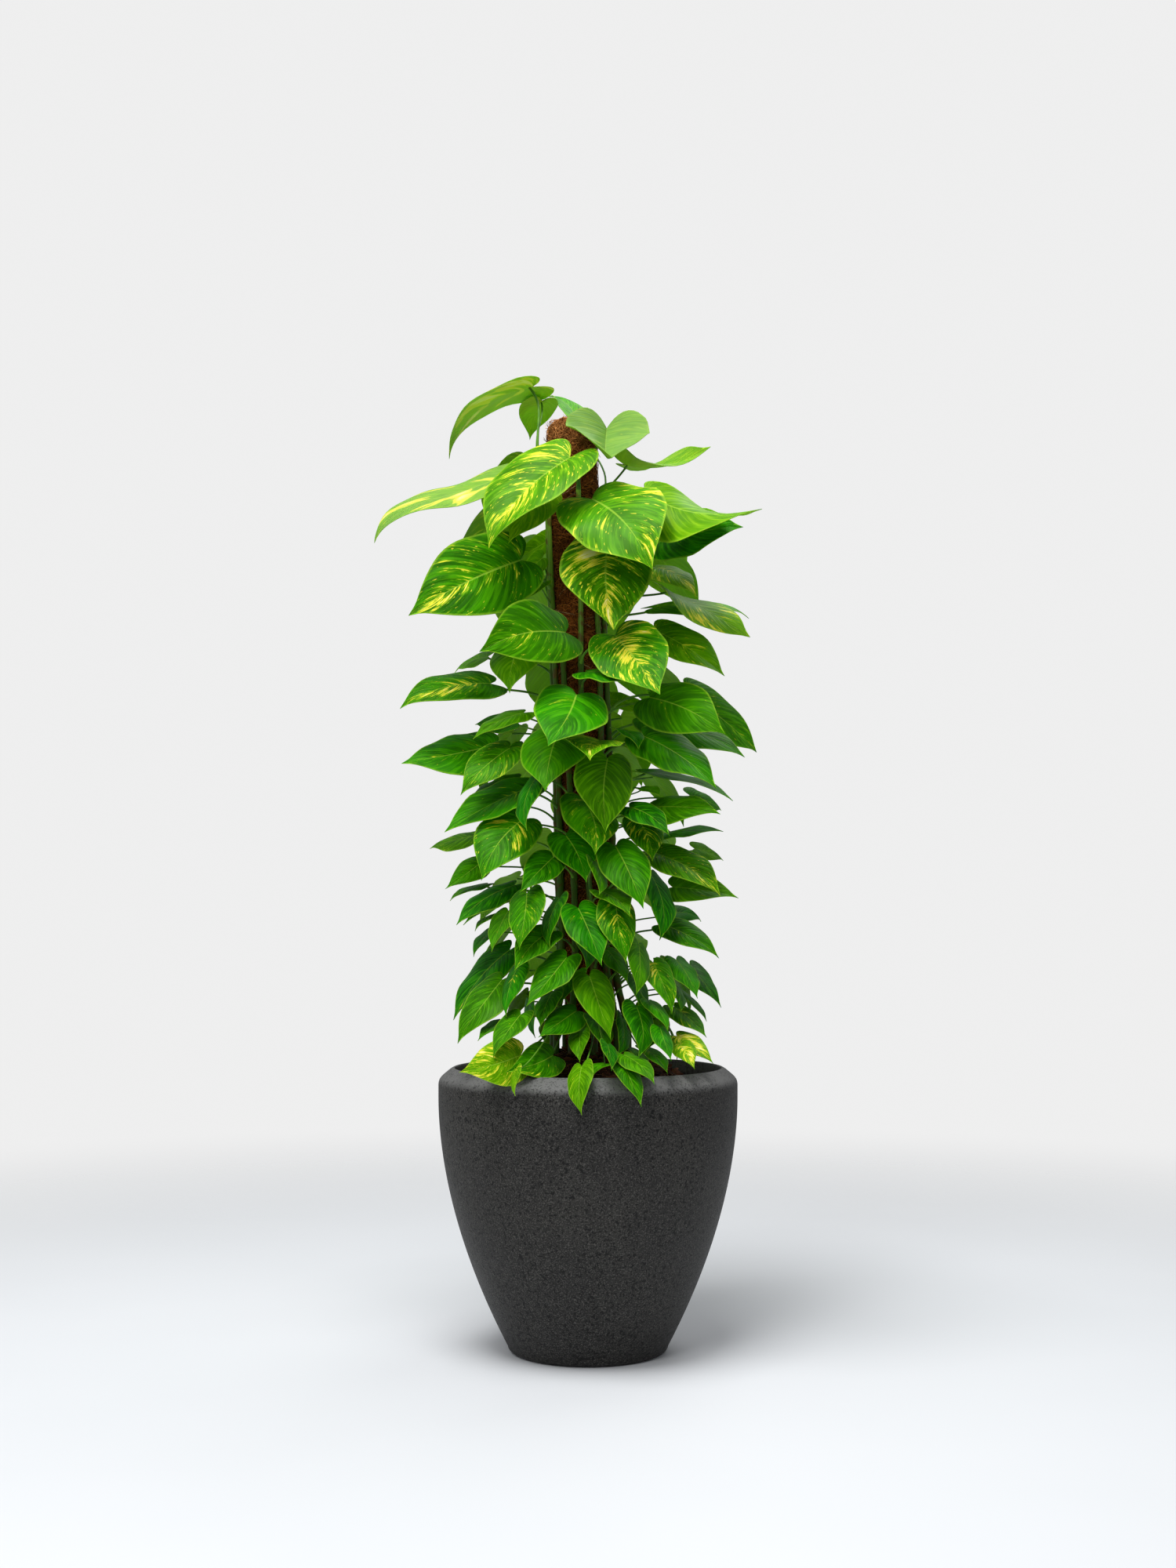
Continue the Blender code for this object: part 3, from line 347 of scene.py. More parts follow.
# Leaves on the back and the flanks, spread by the golden ratio: number, attempt and vine
BACKS = (
    (40, 0, 1), (38, 0, 8), (37, 3, 10), (36, 6, 6), (35, 0, 8), (34, 21, 6), (33, 1, 8),
    (32, 10, 8), (30, 0, 8), (28, 1, 6), (27, 7, 8), (26, 8, 6), (25, 1, 8), (23, 13, 7),
    (22, 0, 8), (21, 15, 10), (20, 0, 7), (19, 1, 9), (18, 0, 6), (17, 0, 8), (16, 0, 10),
    (15, 0, 7), (14, 0, 9), (13, 16, 6), (12, 0, 8), (11, 0, 9), (10, 0, 6), (9, 0, 8),
    (8, 4, 10), (7, 0, 7), (6, 0, 9), (5, 0, 6), (4, 0, 8), (3, 0, 9), (2, 0, 7),
    (1, 0, 8), (0, 17, 6),
)
BACK_LEAVES = 41
BACK_TRIES = 22
# Their heights, bearings to each side in degrees, lengths from low to high, and reach
BACK_LOW = 440 * MM
BACK_HIGH = 1310 * MM
BACK_SWEEP = 84
BACK_LENGTH = 72 * MM
BACK_LONGER = 90 * MM
BACK_REACH = 116 * MM
FLANK_INSET = 34 * MM
GOLDEN = 0.618034


def unit(vector):
    """The vector of length 1 in the same direction."""
    return vector / np.linalg.norm(vector)


def seen_at(x, z, depth):
    """The point at a depth that appears at x, z on the plane through the pole."""
    scale = 1.0 - depth / EYE[1]
    return np.array((x * scale, depth, EYE[2] + (z - EYE[2]) * scale))


def pole_axis(z):
    """The point of the pole's leaning axis at a height."""
    return np.array((POLE_X_AT_SOIL - POLE_SLOPE * (z - SOIL_LINE), 0.0, z))


def around(z, reach, angle):
    """The point at a height, a reach from the pole's axis and a bearing in radians."""
    return pole_axis(z) + reach * np.array((math.cos(angle), math.sin(angle), 0.0))


def ramp(value, low, high):
    """0 up to low, 1 from high on, smooth between."""
    share = min(max((value - low) / (high - low), 0.0), 1.0)
    return share * share * (3 - 2 * share)


class Stem:
    """A stem that stands in the soil, bends to the pole and climbs its face."""

    def __init__(self, index):
        bearing, top = VINES[index]
        self.bearing = math.radians(bearing)
        self.top = top * MM
        self.phase = index * 1.7

    def radius(self, z):
        return STEM_RADIUS + (STEM_TIP_RADIUS - STEM_RADIUS) * ramp(z, STEM_BEND_HIGH, POLE_TOP)

    def point(self, z):
        level = max(z, STEM_BEND_LOW)
        climb = ramp(level, STEM_BEND_LOW, STEM_BEND_HIGH)
        reach = POLE_RADIUS + self.radius(level) + GAP * 2 + STEM_SPREAD * (1 - climb)
        angle = self.bearing + STEM_SWAY * climb * math.sin(9 * level + self.phase)
        point = around(level, reach, angle)
        point[2] = z
        return point

    def outward(self, z):
        return unit((self.point(z) - pole_axis(max(z, STEM_BEND_LOW))) * (1, 1, 0))


class Leaf:
    """A heart-shaped blade, set by its joint, tip, length and the width seen from the front.

    Its look is (age, variegation), () where both are drawn, or None for a leaf of the back.
    """

    def __init__(self, base, tip, seen_width, rng, under=0, turned=None, drop=NODE_DROP, **form):
        self.look = None
        self.drop = drop
        self.base = base
        self.length = np.linalg.norm(tip - base)
        narrow = NARROW_BLADE * self.length * rng.uniform(0.96, 1.1)
        self.width = min(max(1.06 * seen_width, narrow), BROAD_BLADE * self.length)
        self.axis = unit(tip - base)
        view = unit(EYE - 0.5 * (base + tip))
        face = unit(view - self.axis * (view @ self.axis))
        side = np.cross(self.axis, face)
        cosine = min(max(seen_width / self.width, LEAST_FACING), 1.0)
        sine = math.sqrt(1 - cosine * cosine)
        if turned is not None:
            cosine, sine = math.cos(math.radians(turned)), math.sin(math.radians(turned))
        facing = -cosine if under else cosine
        outward = unit((base - pole_axis(base[2])) * (1, 1, 0))
        wish = np.array((0, 0, 1.0)) + 0.5 * outward
        choices = [face * facing + side * sine, face * facing - side * sine]
        self.normal = max(choices, key=lambda normal: normal @ wish)
        if turned is not None:
            self.normal = choices[0]
        self.side = np.cross(self.normal, self.axis)
        drawn = {name: rng.uniform(*span) for name, span in FORM.items()}
        drawn.update(form)
        bend, curl, self.twist, fold = (
            math.radians(drawn[name]) for name in ("bend", "curl", "twist", "fold")
        )
        self.fold = math.tan(fold)
        self.cup, self.wave, self.waves, self.skew = (
            drawn[name] for name in ("cup", "wave", "waves", "skew")
        )
        self.phases = (drawn["phase"], drawn["other_phase"])
        self.taper = TAPER * (1 - ramp(self.length, TAPER_FROM, TAPER_TO))
        self.set_midrib(bend, curl)

    def set_midrib(self, bend, curl):
        """The midrib's run and rise from joint to tip, and its slope, bent and curled down."""
        steps = np.linspace(0, 1, 61)
        angle = 0.5 * bend - bend * steps - curl * steps**4
        along = np.concatenate(((0,), np.cumsum(np.cos(angle[:-1]) / 60)))
        above = np.concatenate(((0,), np.cumsum(np.sin(angle[:-1]) / 60)))
        turn = math.atan2(above[-1], along[-1])
        scale = self.length / math.hypot(above[-1], along[-1])
        cosine, sine = math.cos(turn), math.sin(turn)
        self.steps = steps
        self.along = scale * (cosine * along + sine * above)
        self.above = scale * (cosine * above - sine * along)
        self.angle = angle - turn

    def point(self, u, v):
        """Point on the blade: u runs from joint to tip, v from -1 to 1 across the half widths."""
        run = np.clip(u, 0, 1)
        beyond = (u - run) * self.length
        angle = np.interp(run, self.steps, self.angle)
        along = np.interp(run, self.steps, self.along) + beyond * np.cos(angle)
        above = np.interp(run, self.steps, self.above) + beyond * np.sin(angle)
        half = 0.5 * self.width * (1 - run) ** self.taper
        across = np.abs(v)
        phase = np.where(v > 0, *self.phases)
        ripple = self.wave * across**2 * np.sin(6.283 * self.waves * u + phase)
        flat_rise = self.width * (0.5 * self.fold * across - self.cup * across**2 + ripple)
        turn = self.twist * (0.5 - run)
        rise = flat_rise * np.cos(turn) + v * half * np.sin(turn)
        along = along - rise * np.sin(angle)
        above = above + rise * np.cos(angle)
        lateral = v * half * np.cos(turn) - flat_rise * np.sin(turn)
        lateral = lateral + self.skew * self.width * np.sin(3.1416 * run)
        return (
            self.base
            + np.multiply.outer(along, self.axis)
            + np.multiply.outer(lateral, self.side)
            + np.multiply.outer(above, self.normal)
        )

    def facing(self, u, v):
        """Unit normal of the blade at u, v; the narrow tip takes the one just behind it."""
        step = 0.02
        u = np.minimum(u, 0.95)
        run = self.point(u + step, v) - self.point(u - step, v)
        reach = self.point(u, v + step) - self.point(u, v - step)
        normal = np.cross(run, reach)
        return normal / np.linalg.norm(normal, axis=-1, keepdims=True)


class Stalk:
    """The leaf stalk: an arched curve from the stem's node to the joint of the blade."""

    def __init__(self, stem, leaf):
        self.height = min(max(leaf.base[2] - leaf.drop * MM, FIRST_NODE), stem.top - LAST_NODE)
        self.radius = STALK_LEAST + STALK_GROWTH * leaf.length
        start = stem.point(self.height)
        share = next(share for length, share in SEAT_RUNS if leaf.length > length)
        run = unit(leaf.point(share, 0.0) - leaf.base)
        seat = leaf.base + STALK_HOLD * run
        flat = leaf.facing(np.array((STALK_HOLD / leaf.length,)), np.array((0.0,)))[0]
        facing = unit(flat - run * (flat @ run))
        span = seat - start
        reach = np.linalg.norm(span)
        # Out of the stem and up, less so to a blade that hangs; in along the blade and its face
        lift = 0.30 if span[2] > -10 * MM else 0.16
        arrive = unit(0.45 * leaf.axis + 0.5 * leaf.normal + 0.6 * span / reach)
        out = stem.outward(self.height) * 0.24 + np.array((0, 0, lift))
        self.poles = [start, start + reach * out, seat - 0.34 * reach * arrive, seat]
        steps = 2 if leaf.length < SHORT_BLADE else 3
        for _ in range(3):
            last = unit(self.poles[3] - self.point(1 - 1 / steps))
            rise = self.radius * STALK_TIP * math.sqrt(max(1 - (last @ facing) ** 2, 0.0))
            self.poles[3] = seat - facing * (rise - STALK_SINK)

    def point(self, t):
        a, b, c, d = self.poles
        s = 1 - t
        return s * s * s * a + 3 * s * s * t * b + 3 * s * t * t * c + t * t * t * d


def tip_at(base, x, z, length, toward):
    """The tip that appears at x, z and lies a leaf's length from its joint."""
    depth = base[1]
    for _ in range(40):
        tip = seen_at(x, z, depth)
        short = length - np.linalg.norm(tip - base)
        if short <= 0:
            break
        depth += toward * max(0.35 * short, 0.0004)
    return seen_at(x, z, depth)


def front_leaf(row, seed):
    """A leaf of the front view and its vine, set from its row."""
    x, z, tip_x, tip_z, seen, depth, length, vine, *rest = row
    form = dict(rest.pop()) if rest and isinstance(rest[-1], dict) else {}
    base = seen_at(x * MM, z * MM, depth * MM)
    toward = form.pop("toward", 1 if depth > 0 else -1)
    tip = tip_at(base, tip_x * MM, tip_z * MM, length * MM, toward)
    leaf = Leaf(base, tip, seen * MM, Random(seed), **form)
    leaf.look = tuple(rest)
    return vine, leaf


def back_leaf(index, attempt, vine):
    """A leaf of the back and its vine; those on the flanks sit closer to the pole and hang."""
    rng = Random(SEED + BACK_SEED + index * BACK_TRIES + attempt)
    share = (index + 0.5) / BACK_LEAVES
    height = BACK_LOW + (BACK_HIGH - BACK_LOW) * share + rng.uniform(-2, 2) * attempt * MM
    swing = 2 * ((index * GOLDEN) % 1.0) - 1
    swing = min(max(swing + 0.02 * attempt * rng.uniform(-1, 1), -1), 1)
    bearing = math.radians(90 + BACK_SWEEP * swing)
    length = (BACK_LENGTH + BACK_LONGER * share) * rng.uniform(0.9, 1.12)
    flank = abs(swing) ** 3
    reach = BACK_REACH - FLANK_INSET * flank + rng.uniform(-12, 22) * MM
    outward = np.array((math.cos(bearing), math.sin(bearing), 0.0))
    base = around(height, reach, bearing)
    drop = rng.uniform(0.25, 1.1) + 1.8 * flank
    sideways = rng.uniform(-0.4, 0.4) * np.array((-outward[1], outward[0], 0.0))
    tip = base + length * unit(outward + sideways - drop * np.array((0, 0, 1.0)))
    leaf = Leaf(base, tip, rng.uniform(0.62, 0.8) * length, rng)
    wish = unit(outward + np.array((0, 0, 1.0)) + rng.uniform(-0.5, 0.5) * leaf.side)
    leaf.normal = unit(wish - leaf.axis * (wish @ leaf.axis))
    leaf.side = np.cross(leaf.normal, leaf.axis)
    return vine, leaf


def grow_plant():
    """The stems, and the leaves of each with their stalks, the largest of the front first."""
    stems = [Stem(index) for index in range(len(VINES))]
    areas = [seen * length for _, _, _, _, seen, _, length, *_ in LEAVES]
    order = sorted(range(len(LEAVES)), key=lambda k: -areas[k])
    grown = [front_leaf(LEAVES[k], SEED + k) for k in order]
    grown += [back_leaf(*row) for row in BACKS]
    vines = [[] for _ in stems]
    for vine, leaf in grown:
        vines[vine - 1].append((leaf, Stalk(stems[vine - 1], leaf)))
    return stems, vines


def flare(z):
    """Outer radius of the planter's wall at a height."""
    foot = FOOT_DIAMETER / 2
    climb = 1 - max(1 - z / FLARE_HEIGHT, 0.0) ** FLARE_POWER
    return foot + (PLANTER_DIAMETER / 2 - foot) * climb


def spin_solid(outline, sides):
    """Closed solid of revolution from an outline that starts and ends on the axis."""
    shape = bmesh.new()
    corners = [shape.verts.new((r, 0.0, z)) for r, z in outline]
    edges = [shape.edges.new(pair) for pair in zip(corners, corners[1:])]
    bmesh.ops.spin(
        shape,
        geom=corners + edges,
        cent=(0, 0, 0),
        axis=(0, 0, 1),
        angle=2 * math.pi,
        steps=sides,
        use_merge=True,
    )
    bmesh.ops.remove_doubles(shape, verts=shape.verts, dist=1e-6)
    bmesh.ops.recalc_face_normals(shape, faces=shape.faces)
    return shape


def lean(shape):
    """Shears an upright shape along the pole's leaning axis."""
    for corner in shape.verts:
        corner.co.x += pole_axis(corner.co.z)[0]
    return shape


def curve_through(table, place):
    """A smooth curve through the rows of a table, at places from 0 to 1."""
    rows = np.array(table)
    last = len(rows) - 1
    before = 2 * rows[0] - rows[1]
    after = 2 * rows[-1] - rows[-2]
    rows = np.vstack((before, rows, after))
    place = np.clip(np.asarray(place, float), 0, 1) * last
    step = np.minimum(place.astype(int), last - 1)
    t = (place - step)[:, None]
    a, b, c, d = (rows[step + k] for k in range(4))
    bend = (2 * a - 5 * b + 4 * c - d) * t * t + (3 * b - a - 3 * c + d) * t**3
    return 0.5 * (2 * b + (c - a) * t + bend)


def finished_mesh(shape, name):
    """The mesh of a shape, which is freed."""
    mesh = bpy.data.meshes.new(name)
    shape.to_mesh(mesh)
    shape.free()
    return mesh


def leaf_mesh(leaf, look):
    """A thin heart-shaped blade that carries its look at every corner."""
    columns = int(min(max(12 + 90 * leaf.length, 18), 30))
    rows = 5 if leaf.length > LARGE_BLADE else 4
    shape = bmesh.new()
    shape.loops.layers.uv.new("UVMap")
    marks = shape.verts.layers.float_vector.new("leaf")
    bmesh.ops.create_grid(
        shape, x_segments=columns, y_segments=2 * rows, size=1, calc_uvs=True
    )
    flat = np.array([tuple(corner.co) for corner in shape.verts])
    along, across, foot = curve_through(HALF_OUTLINE, 0.5 + 0.5 * flat[:, 0]).T
    reach = np.abs(flat[:, 1])
    u = foot + (along - foot) * reach
    places = leaf.point(u, across * flat[:, 1])
    for corner, place in zip(shape.verts, places):
        corner.co = place
        corner[marks] = look
    bmesh.ops.remove_doubles(shape, verts=shape.verts, dist=0.02 * MM)
    shape.normal_update()
    for corner in shape.verts:
        corner.co += corner.normal * (BLADE / 2)
    count = len(shape.faces)
    bmesh.ops.solidify(shape, geom=shape.faces[:], thickness=BLADE)
    for index, face in enumerate(shape.faces):
        face.smooth = True
        face.material_index = 1 if count <= index < 2 * count else 0
    return finished_mesh(shape, "blade")


def tube_mesh(paths, sides):
    """Round tubes with closed ends; each path is a list of points and a list of radii."""
    curve = bpy.data.curves.new("tubes", "CURVE")
    curve.dimensions = "3D"
    curve.bevel_depth = 1.0
    curve.bevel_resolution = (sides - 4) // 2
    curve.use_fill_caps = True
    for points, radii in paths:
        spline = curve.splines.new("POLY")
        spline.points.add(len(points) - 1)
        for knot, point, radius in zip(spline.points, points, radii):
            knot.co = (*point, 1.0)
            knot.radius = radius
    holder = bpy.data.objects.new("tubes", curve)
    bpy.context.scene.collection.objects.link(holder)
    graph = bpy.context.evaluated_depsgraph_get()
    mesh = bpy.data.meshes.new_from_object(holder.evaluated_get(graph))
    bpy.data.objects.remove(holder)
    bpy.data.curves.remove(curve)
    return mesh


def take_in(shape, mesh):
    """Adds a mesh to a shape and removes the mesh."""
    shape.from_mesh(mesh)
    bpy.data.meshes.remove(mesh)


def tube_shape(parts, merge):
    """One shape of several sets of tubes, each with its sides and material, seams merged."""
    shape = bmesh.new()
    for paths, sides, finish in parts:
        mesh = tube_mesh(paths, sides)
        for face in mesh.polygons:
            face.material_index = finish
        take_in(shape, mesh)
    bmesh.ops.remove_doubles(shape, verts=shape.verts, dist=merge)
    return shape


def stem_path(stem, nodes):
    """The climbing stem, swollen at its nodes and drawn in at its growing tip."""
    heights = np.linspace(STEM_FOOT, stem.top, STEM_POINTS)
    radii = []
    for z in heights:
        swell = sum(math.exp(-(((z - node) / NODE_SWELL) ** 2)) for node in nodes)
        tip = min((stem.top - z) / TIP_TAPER, 1.0)
        radii.append(stem.radius(z) * (1 + 0.16 * min(swell, 1.0)) * (0.25 + 0.75 * tip**0.6))
    return [stem.point(z) for z in heights], radii


def stalk_path(stalk):
    """The leaf stalk: a sheath at the stem, an even run and a knee at the blade."""
    places = np.linspace(0, 1, STALK_POINTS)
    radii = []
    for t in places:
        sheath = 0.75 * math.exp(-((t / 0.10) ** 2))
        knee = 0.22 * math.exp(-(((t - 0.93) / 0.035) ** 2))
        radii.append(stalk.radius * (1.05 - 0.2 * t + sheath + knee))
    return [stalk.point(t) for t in places], radii


def root_path(stem, height, rng):
    """An aerial root that leaves the stem sideways and clings to the coir."""
    turn = rng.choice((-1, 1))
    length = rng.uniform(18, 46) * MM
    drop = rng.uniform(0.1, 0.9)
    radius = rng.uniform(0.7, 1.2) * MM
    out = stem.point(height) - pole_axis(height)
    angle = math.atan2(out[1], out[0])
    hug = POLE_RADIUS + 0.4 * MM + radius
    points, radii = [], []
    for t in np.linspace(0, 1, ROOT_POINTS):
        swing = angle + turn * (0.02 + length * t / POLE_RADIUS)
        reach = hug + (math.hypot(*out[:2]) - hug) * max(1 - 3 * t, 0)
        wander = 0.05 * math.sin(7 * t + height * 90)
        points.append(around(height - drop * length * t, reach, swing + wander))
        radii.append(radius * (1 - 0.55 * t))
    return points, radii


def leaf_look(leaf, rng):
    """Chance, age and variegation of a leaf: its own, or on the back more of both higher up."""
    chance = rng.random()
    if leaf.look:
        return (chance, *leaf.look)
    if leaf.look is not None:
        return (chance, rng.uniform(0.0, 0.25), rng.uniform(0.0, 0.2))
    share = ramp(leaf.base[2], 0.5, 1.3)
    age_and_sheen = rng.uniform(0.0, 0.3) + (0.4 * share if rng.random() < 0.3 else 0.0)
    fleck = rng.uniform(0.0, 0.3) + (0.45 * share if rng.random() < 0.6 else 0.0)
    return chance, age_and_sheen, fleck


def add_piece(name, data, finishes=()):
    """Adds an object to the scene, with its materials."""
    for finish in finishes:
        data.materials.append(finish)
    piece = bpy.data.objects.new(name, data)
    bpy.context.scene.collection.objects.link(piece)
    return piece


def finish_piece(name, shape, finishes, sharp):
    """Makes a mesh object that rides on the plant, smooth but for edges past sharp degrees."""
    mesh = finished_mesh(shape, name)
    mesh.shade_smooth()
    mesh.set_sharp_from_angle(angle=math.radians(sharp))
    piece = add_piece(name, mesh, finishes)
    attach(piece, "root")
    return piece


def dress_vine(index, stem, leaves, finishes):
    """One vine: its stem, aerial roots, leaf stalks and blades in one piece."""
    name = f"pothos_vine_{index + 1:02d}"
    rng = Random(SEED + VINE_SEED + index)
    nodes = sorted(stalk.height for leaf, stalk in leaves)
    spare = np.arange(STEM_BEND_HIGH, stem.top - BARE_TIP, NODE_STEP)
    nodes += [z for z in spare if all(abs(z - node) > NODE_APART for node in nodes)]
    stalks = [stalk_path(stalk) for leaf, stalk in leaves]
    roots = [root_path(stem, z - ROOT_BELOW, rng) for z in nodes if z > STEM_BEND_HIGH]
    stems = [stem_path(stem, nodes)]
    parts = ((stems, STEM_RING, 2), (stalks, STALK_RING, 3), (roots, ROOT_RING, 4))
    whole = tube_shape(parts, merge=0.01 * MM)
    for leaf, stalk in leaves:
        take_in(whole, leaf_mesh(leaf, leaf_look(leaf, rng)))
    for corner in whole.verts:
        corner.co = Vector(np.clip(corner.co, LOW_CORNER, HIGH_CORNER))
    piece = finish_piece(name, whole, finishes, sharp=62)
    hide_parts(f"vine_{index + 1:02d}")


def planter_profile():
    """Outline of the planter: rounded foot, flared wall, bevelled rim and inner wall."""
    foot = FOOT_DIAMETER / 2
    outline = [(0.0, 0.0), (foot - 3 * FOOT_ROUND, 0.0)]
    for turn in np.linspace(0, 1, FOOT_POINTS):
        angle = turn * math.pi / 2
        out = (flare(FOOT_ROUND) - foot + FOOT_ROUND) * math.sin(angle)
        outline.append((foot - FOOT_ROUND + out, FOOT_ROUND * (1 - math.cos(angle))))
    outline += [(flare(z), z) for z in np.linspace(FOOT_ROUND, FLARE_HEIGHT, WALL_POINTS)[1:]]
    edge = PLANTER_DIAMETER / 2
    rim = curve_through(RIM, np.linspace(0, 1, RIM_POINTS))
    outline += [(edge - x * MM, PLANTER_HEIGHT - max(drop, 0) * MM) for x, drop in rim]
    inner = np.linspace(FLARE_HEIGHT + INNER_RISE, FLOOR, INNER_POINTS)
    outline += [(flare(z) - WALL, z) for z in inner]
    return outline + [(0.0, FLOOR)]


def make_planter(finish):
    """The planter, one solid of revolution."""
    shape = spin_solid(planter_profile(), PLANTER_SIDES)
    piece = finish_piece("planter_tub", shape, [finish], sharp=40)
    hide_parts("planter")


def mound(x, y):
    """Height of the potting mix at x, y, with its lumps."""
    edge = flare(FLARE_HEIGHT) - WALL
    share = max(1 - math.hypot(x, y) / edge, 0.0)
    height = SOIL_EDGE + (SOIL_CROWN - SOIL_EDGE) * (0.5 - 0.5 * math.cos(math.pi * share))
    lumps = sum(noise.noise(Vector((x, y, z)) * pace) * size for z, pace, size in SOIL_LUMPS)
    return height + lumps * MM - SINK * (1 - ramp(share * edge, 0, SINK_WIDTH))


def spot_on_soil(rng, reach, least):
    """A seeded place on the potting mix, evenly spread within a reach."""
    away = reach * math.sqrt(rng.uniform(least, 1.0))
    angle = rng.uniform(0, 2 * math.pi)
    return away * math.cos(angle), away * math.sin(angle)


def chip_shape(shape, rng):
    """One flat, angular piece of bark lying on the mound."""
    bark = bmesh.ops.create_icosphere(shape, subdivisions=1, radius=1)["verts"]
    size = rng.uniform(2.2, 7.5) * MM
    scale = Vector((size * rng.uniform(1.0, 1.9), size, size * rng.uniform(0.25, 0.6)))
    for corner in bark:
        corner.co *= rng.uniform(0.7, 1.15)
    bmesh.ops.scale(shape, vec=scale, verts=bark)
    x, y = spot_on_soil(rng, CHIP_REACH, 0.02)
    tilt = Vector((rng.gauss(0, 0.4), rng.gauss(0, 0.4), 1)).to_track_quat("Z", "Y")
    yaw = rng.uniform(0, 2 * math.pi)
    swing = Vector((math.cos(yaw), math.sin(yaw), 0)).to_track_quat("X", "Z")
    for turn in (tilt, swing):
        bmesh.ops.rotate(shape, cent=(0, 0, 0), matrix=turn.to_matrix(), verts=bark)
    bmesh.ops.translate(shape, vec=(x, y, mound(x, y) + 0.2 * scale.z), verts=bark)
    return bark


def make_soil(finish, bark, thread):
    """The potting mix: a lumpy mound, with pieces of bark and fine rootlets on it."""
    edge = flare(FLARE_HEIGHT) - WALL - GAP
    outline = [(0.0, FLOOR + GAP), (flare(FLOOR) - WALL - GAP, FLOOR + GAP)]
    outline += [(flare(z) - WALL - GAP, z) for z in np.linspace(60 * MM, FLARE_HEIGHT, 12)]
    outline += [(edge * (1 - t), SOIL_EDGE) for t in np.linspace(0, 1, 44)]
    shape = spin_solid(outline, SOIL_SIDES)
    for corner in shape.verts:
        if corner.co.z > SOIL_EDGE - MM:
            corner.co.z = mound(corner.co.x, corner.co.y)
    piece = finish_piece("potting_mix", shape, [finish], sharp=60)
    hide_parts("soil")

    rng = Random(SEED + CHIP_SEED)
    shape = bmesh.new()
    marks = shape.verts.layers.float_vector.new("chip")
    for _ in range(CHIPS):
        shade = rng.random()
        for corner in chip_shape(shape, rng):
            corner[marks] = (shade, 0, 0)
    bmesh.ops.recalc_face_normals(shape, faces=shape.faces)
    piece = finish_piece("bark_pieces", shape, [bark], sharp=20)

    paths = []
    for _ in range(ROOTLETS):
        x, y = spot_on_soil(rng, ROOTLET_REACH, 0.03)
        heading = rng.uniform(0, 2 * math.pi)
        stride = rng.uniform(2.0, 5.0) * MM
        points = []
        for _ in range(ROOTLET_POINTS):
            points.append((x, y, mound(x, y) + rng.uniform(0.3, 1.6) * MM))
            heading += rng.uniform(-0.5, 0.5)
            x, y = x + stride * math.cos(heading), y + stride * math.sin(heading)
            if math.hypot(x, y) > ROOTLET_LIMIT:
                break
        if len(points) > 2:
            paths.append((points, [rng.uniform(0.2, 0.5) * MM] * len(points)))
    shape = tube_shape([(paths, THREAD_RING, 0)], merge=0.01 * MM)
    piece = finish_piece("rootlets", shape, [thread], sharp=60)


def coir_radius(z):
    """Radius of the coir sleeve at a height, rounded over its top."""
    above = max(z - (POLE_TOP - POLE_DOME), 0.0) / POLE_DOME
    return POLE_RADIUS * math.sqrt(max(1 - above**2, 0.0))


def fibre_path(rng, stray):
    """A coir fibre wound round the pole; a stray one lifts off it."""
    z = rng.uniform(SOIL_LINE - 20 * MM, POLE_TOP)
    if stray and rng.random() < 0.35:
        z = rng.uniform(POLE_TOP - 40 * MM, POLE_TOP)
    angle = rng.uniform(0, 2 * math.pi)
    pitch = rng.gauss(0, 0.7)
    length = rng.uniform(14, 42) * MM
    lift = rng.uniform(1.5, 6.0) * MM if stray else rng.uniform(0.3, 1.1) * MM
    bow = rng.uniform(-0.5, 0.5)
    points = []
    for t in np.linspace(0, 1, FIBRE_POINTS):
        run = (t - 0.5) * length
        level = min(z + run * math.sin(pitch + bow * t), POLE_TOP - 0.5 * MM)
        turn = angle + run * math.cos(pitch + bow * t) / POLE_RADIUS
        off = 0.15 * MM + lift * (t * t if stray else math.sin(math.pi * t))
        points.append(around(level, coir_radius(level) + off, turn))
        if level > POLE_TOP - POLE_DOME:
            points[-1][2] += off
    return points, [rng.uniform(0.2, 0.46) * MM] * FIBRE_POINTS


def make_pole(sleeve, fibre):
    """The coir sleeve with its matted surface, and the fibres that lie on it and stray off."""
    outline = [(0.0, POLE_FOOT)]
    outline += [(coir_radius(z), z) for z in np.linspace(POLE_FOOT, POLE_TOP - POLE_DOME, 150)]
    for turn in np.linspace(0, math.pi / 2, 10)[1:-1]:
        height = POLE_TOP - POLE_DOME * (1 - math.sin(turn))
        outline.append((POLE_RADIUS * math.cos(turn), height))
    outline.append((0.0, POLE_TOP))
    shape = lean(spin_solid(outline, POLE_SIDES))
    for corner in shape.verts:
        center = pole_axis(corner.co.z)
        out = Vector((corner.co.x - center[0], corner.co.y - center[1], 0))
        if out.length > MM:
            lump = sum(noise.noise(corner.co * pace) * size for pace, size in COIR_LUMPS)
            corner.co += out.normalized() * (lump - COIR_SINK) * MM
    piece = finish_piece("coir_sleeve", shape, [sleeve], sharp=60)
    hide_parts("coir_wrap")

    rng = Random(SEED + FIBRE_SEED)
    paths = [fibre_path(rng, False) for _ in range(FIBRES)]
    paths += [fibre_path(rng, True) for _ in range(STRAYS)]
    shape = tube_shape([(paths, THREAD_RING, 0)], merge=0.005 * MM)
    piece = finish_piece("coir_fibres", shape, [fibre], sharp=60)


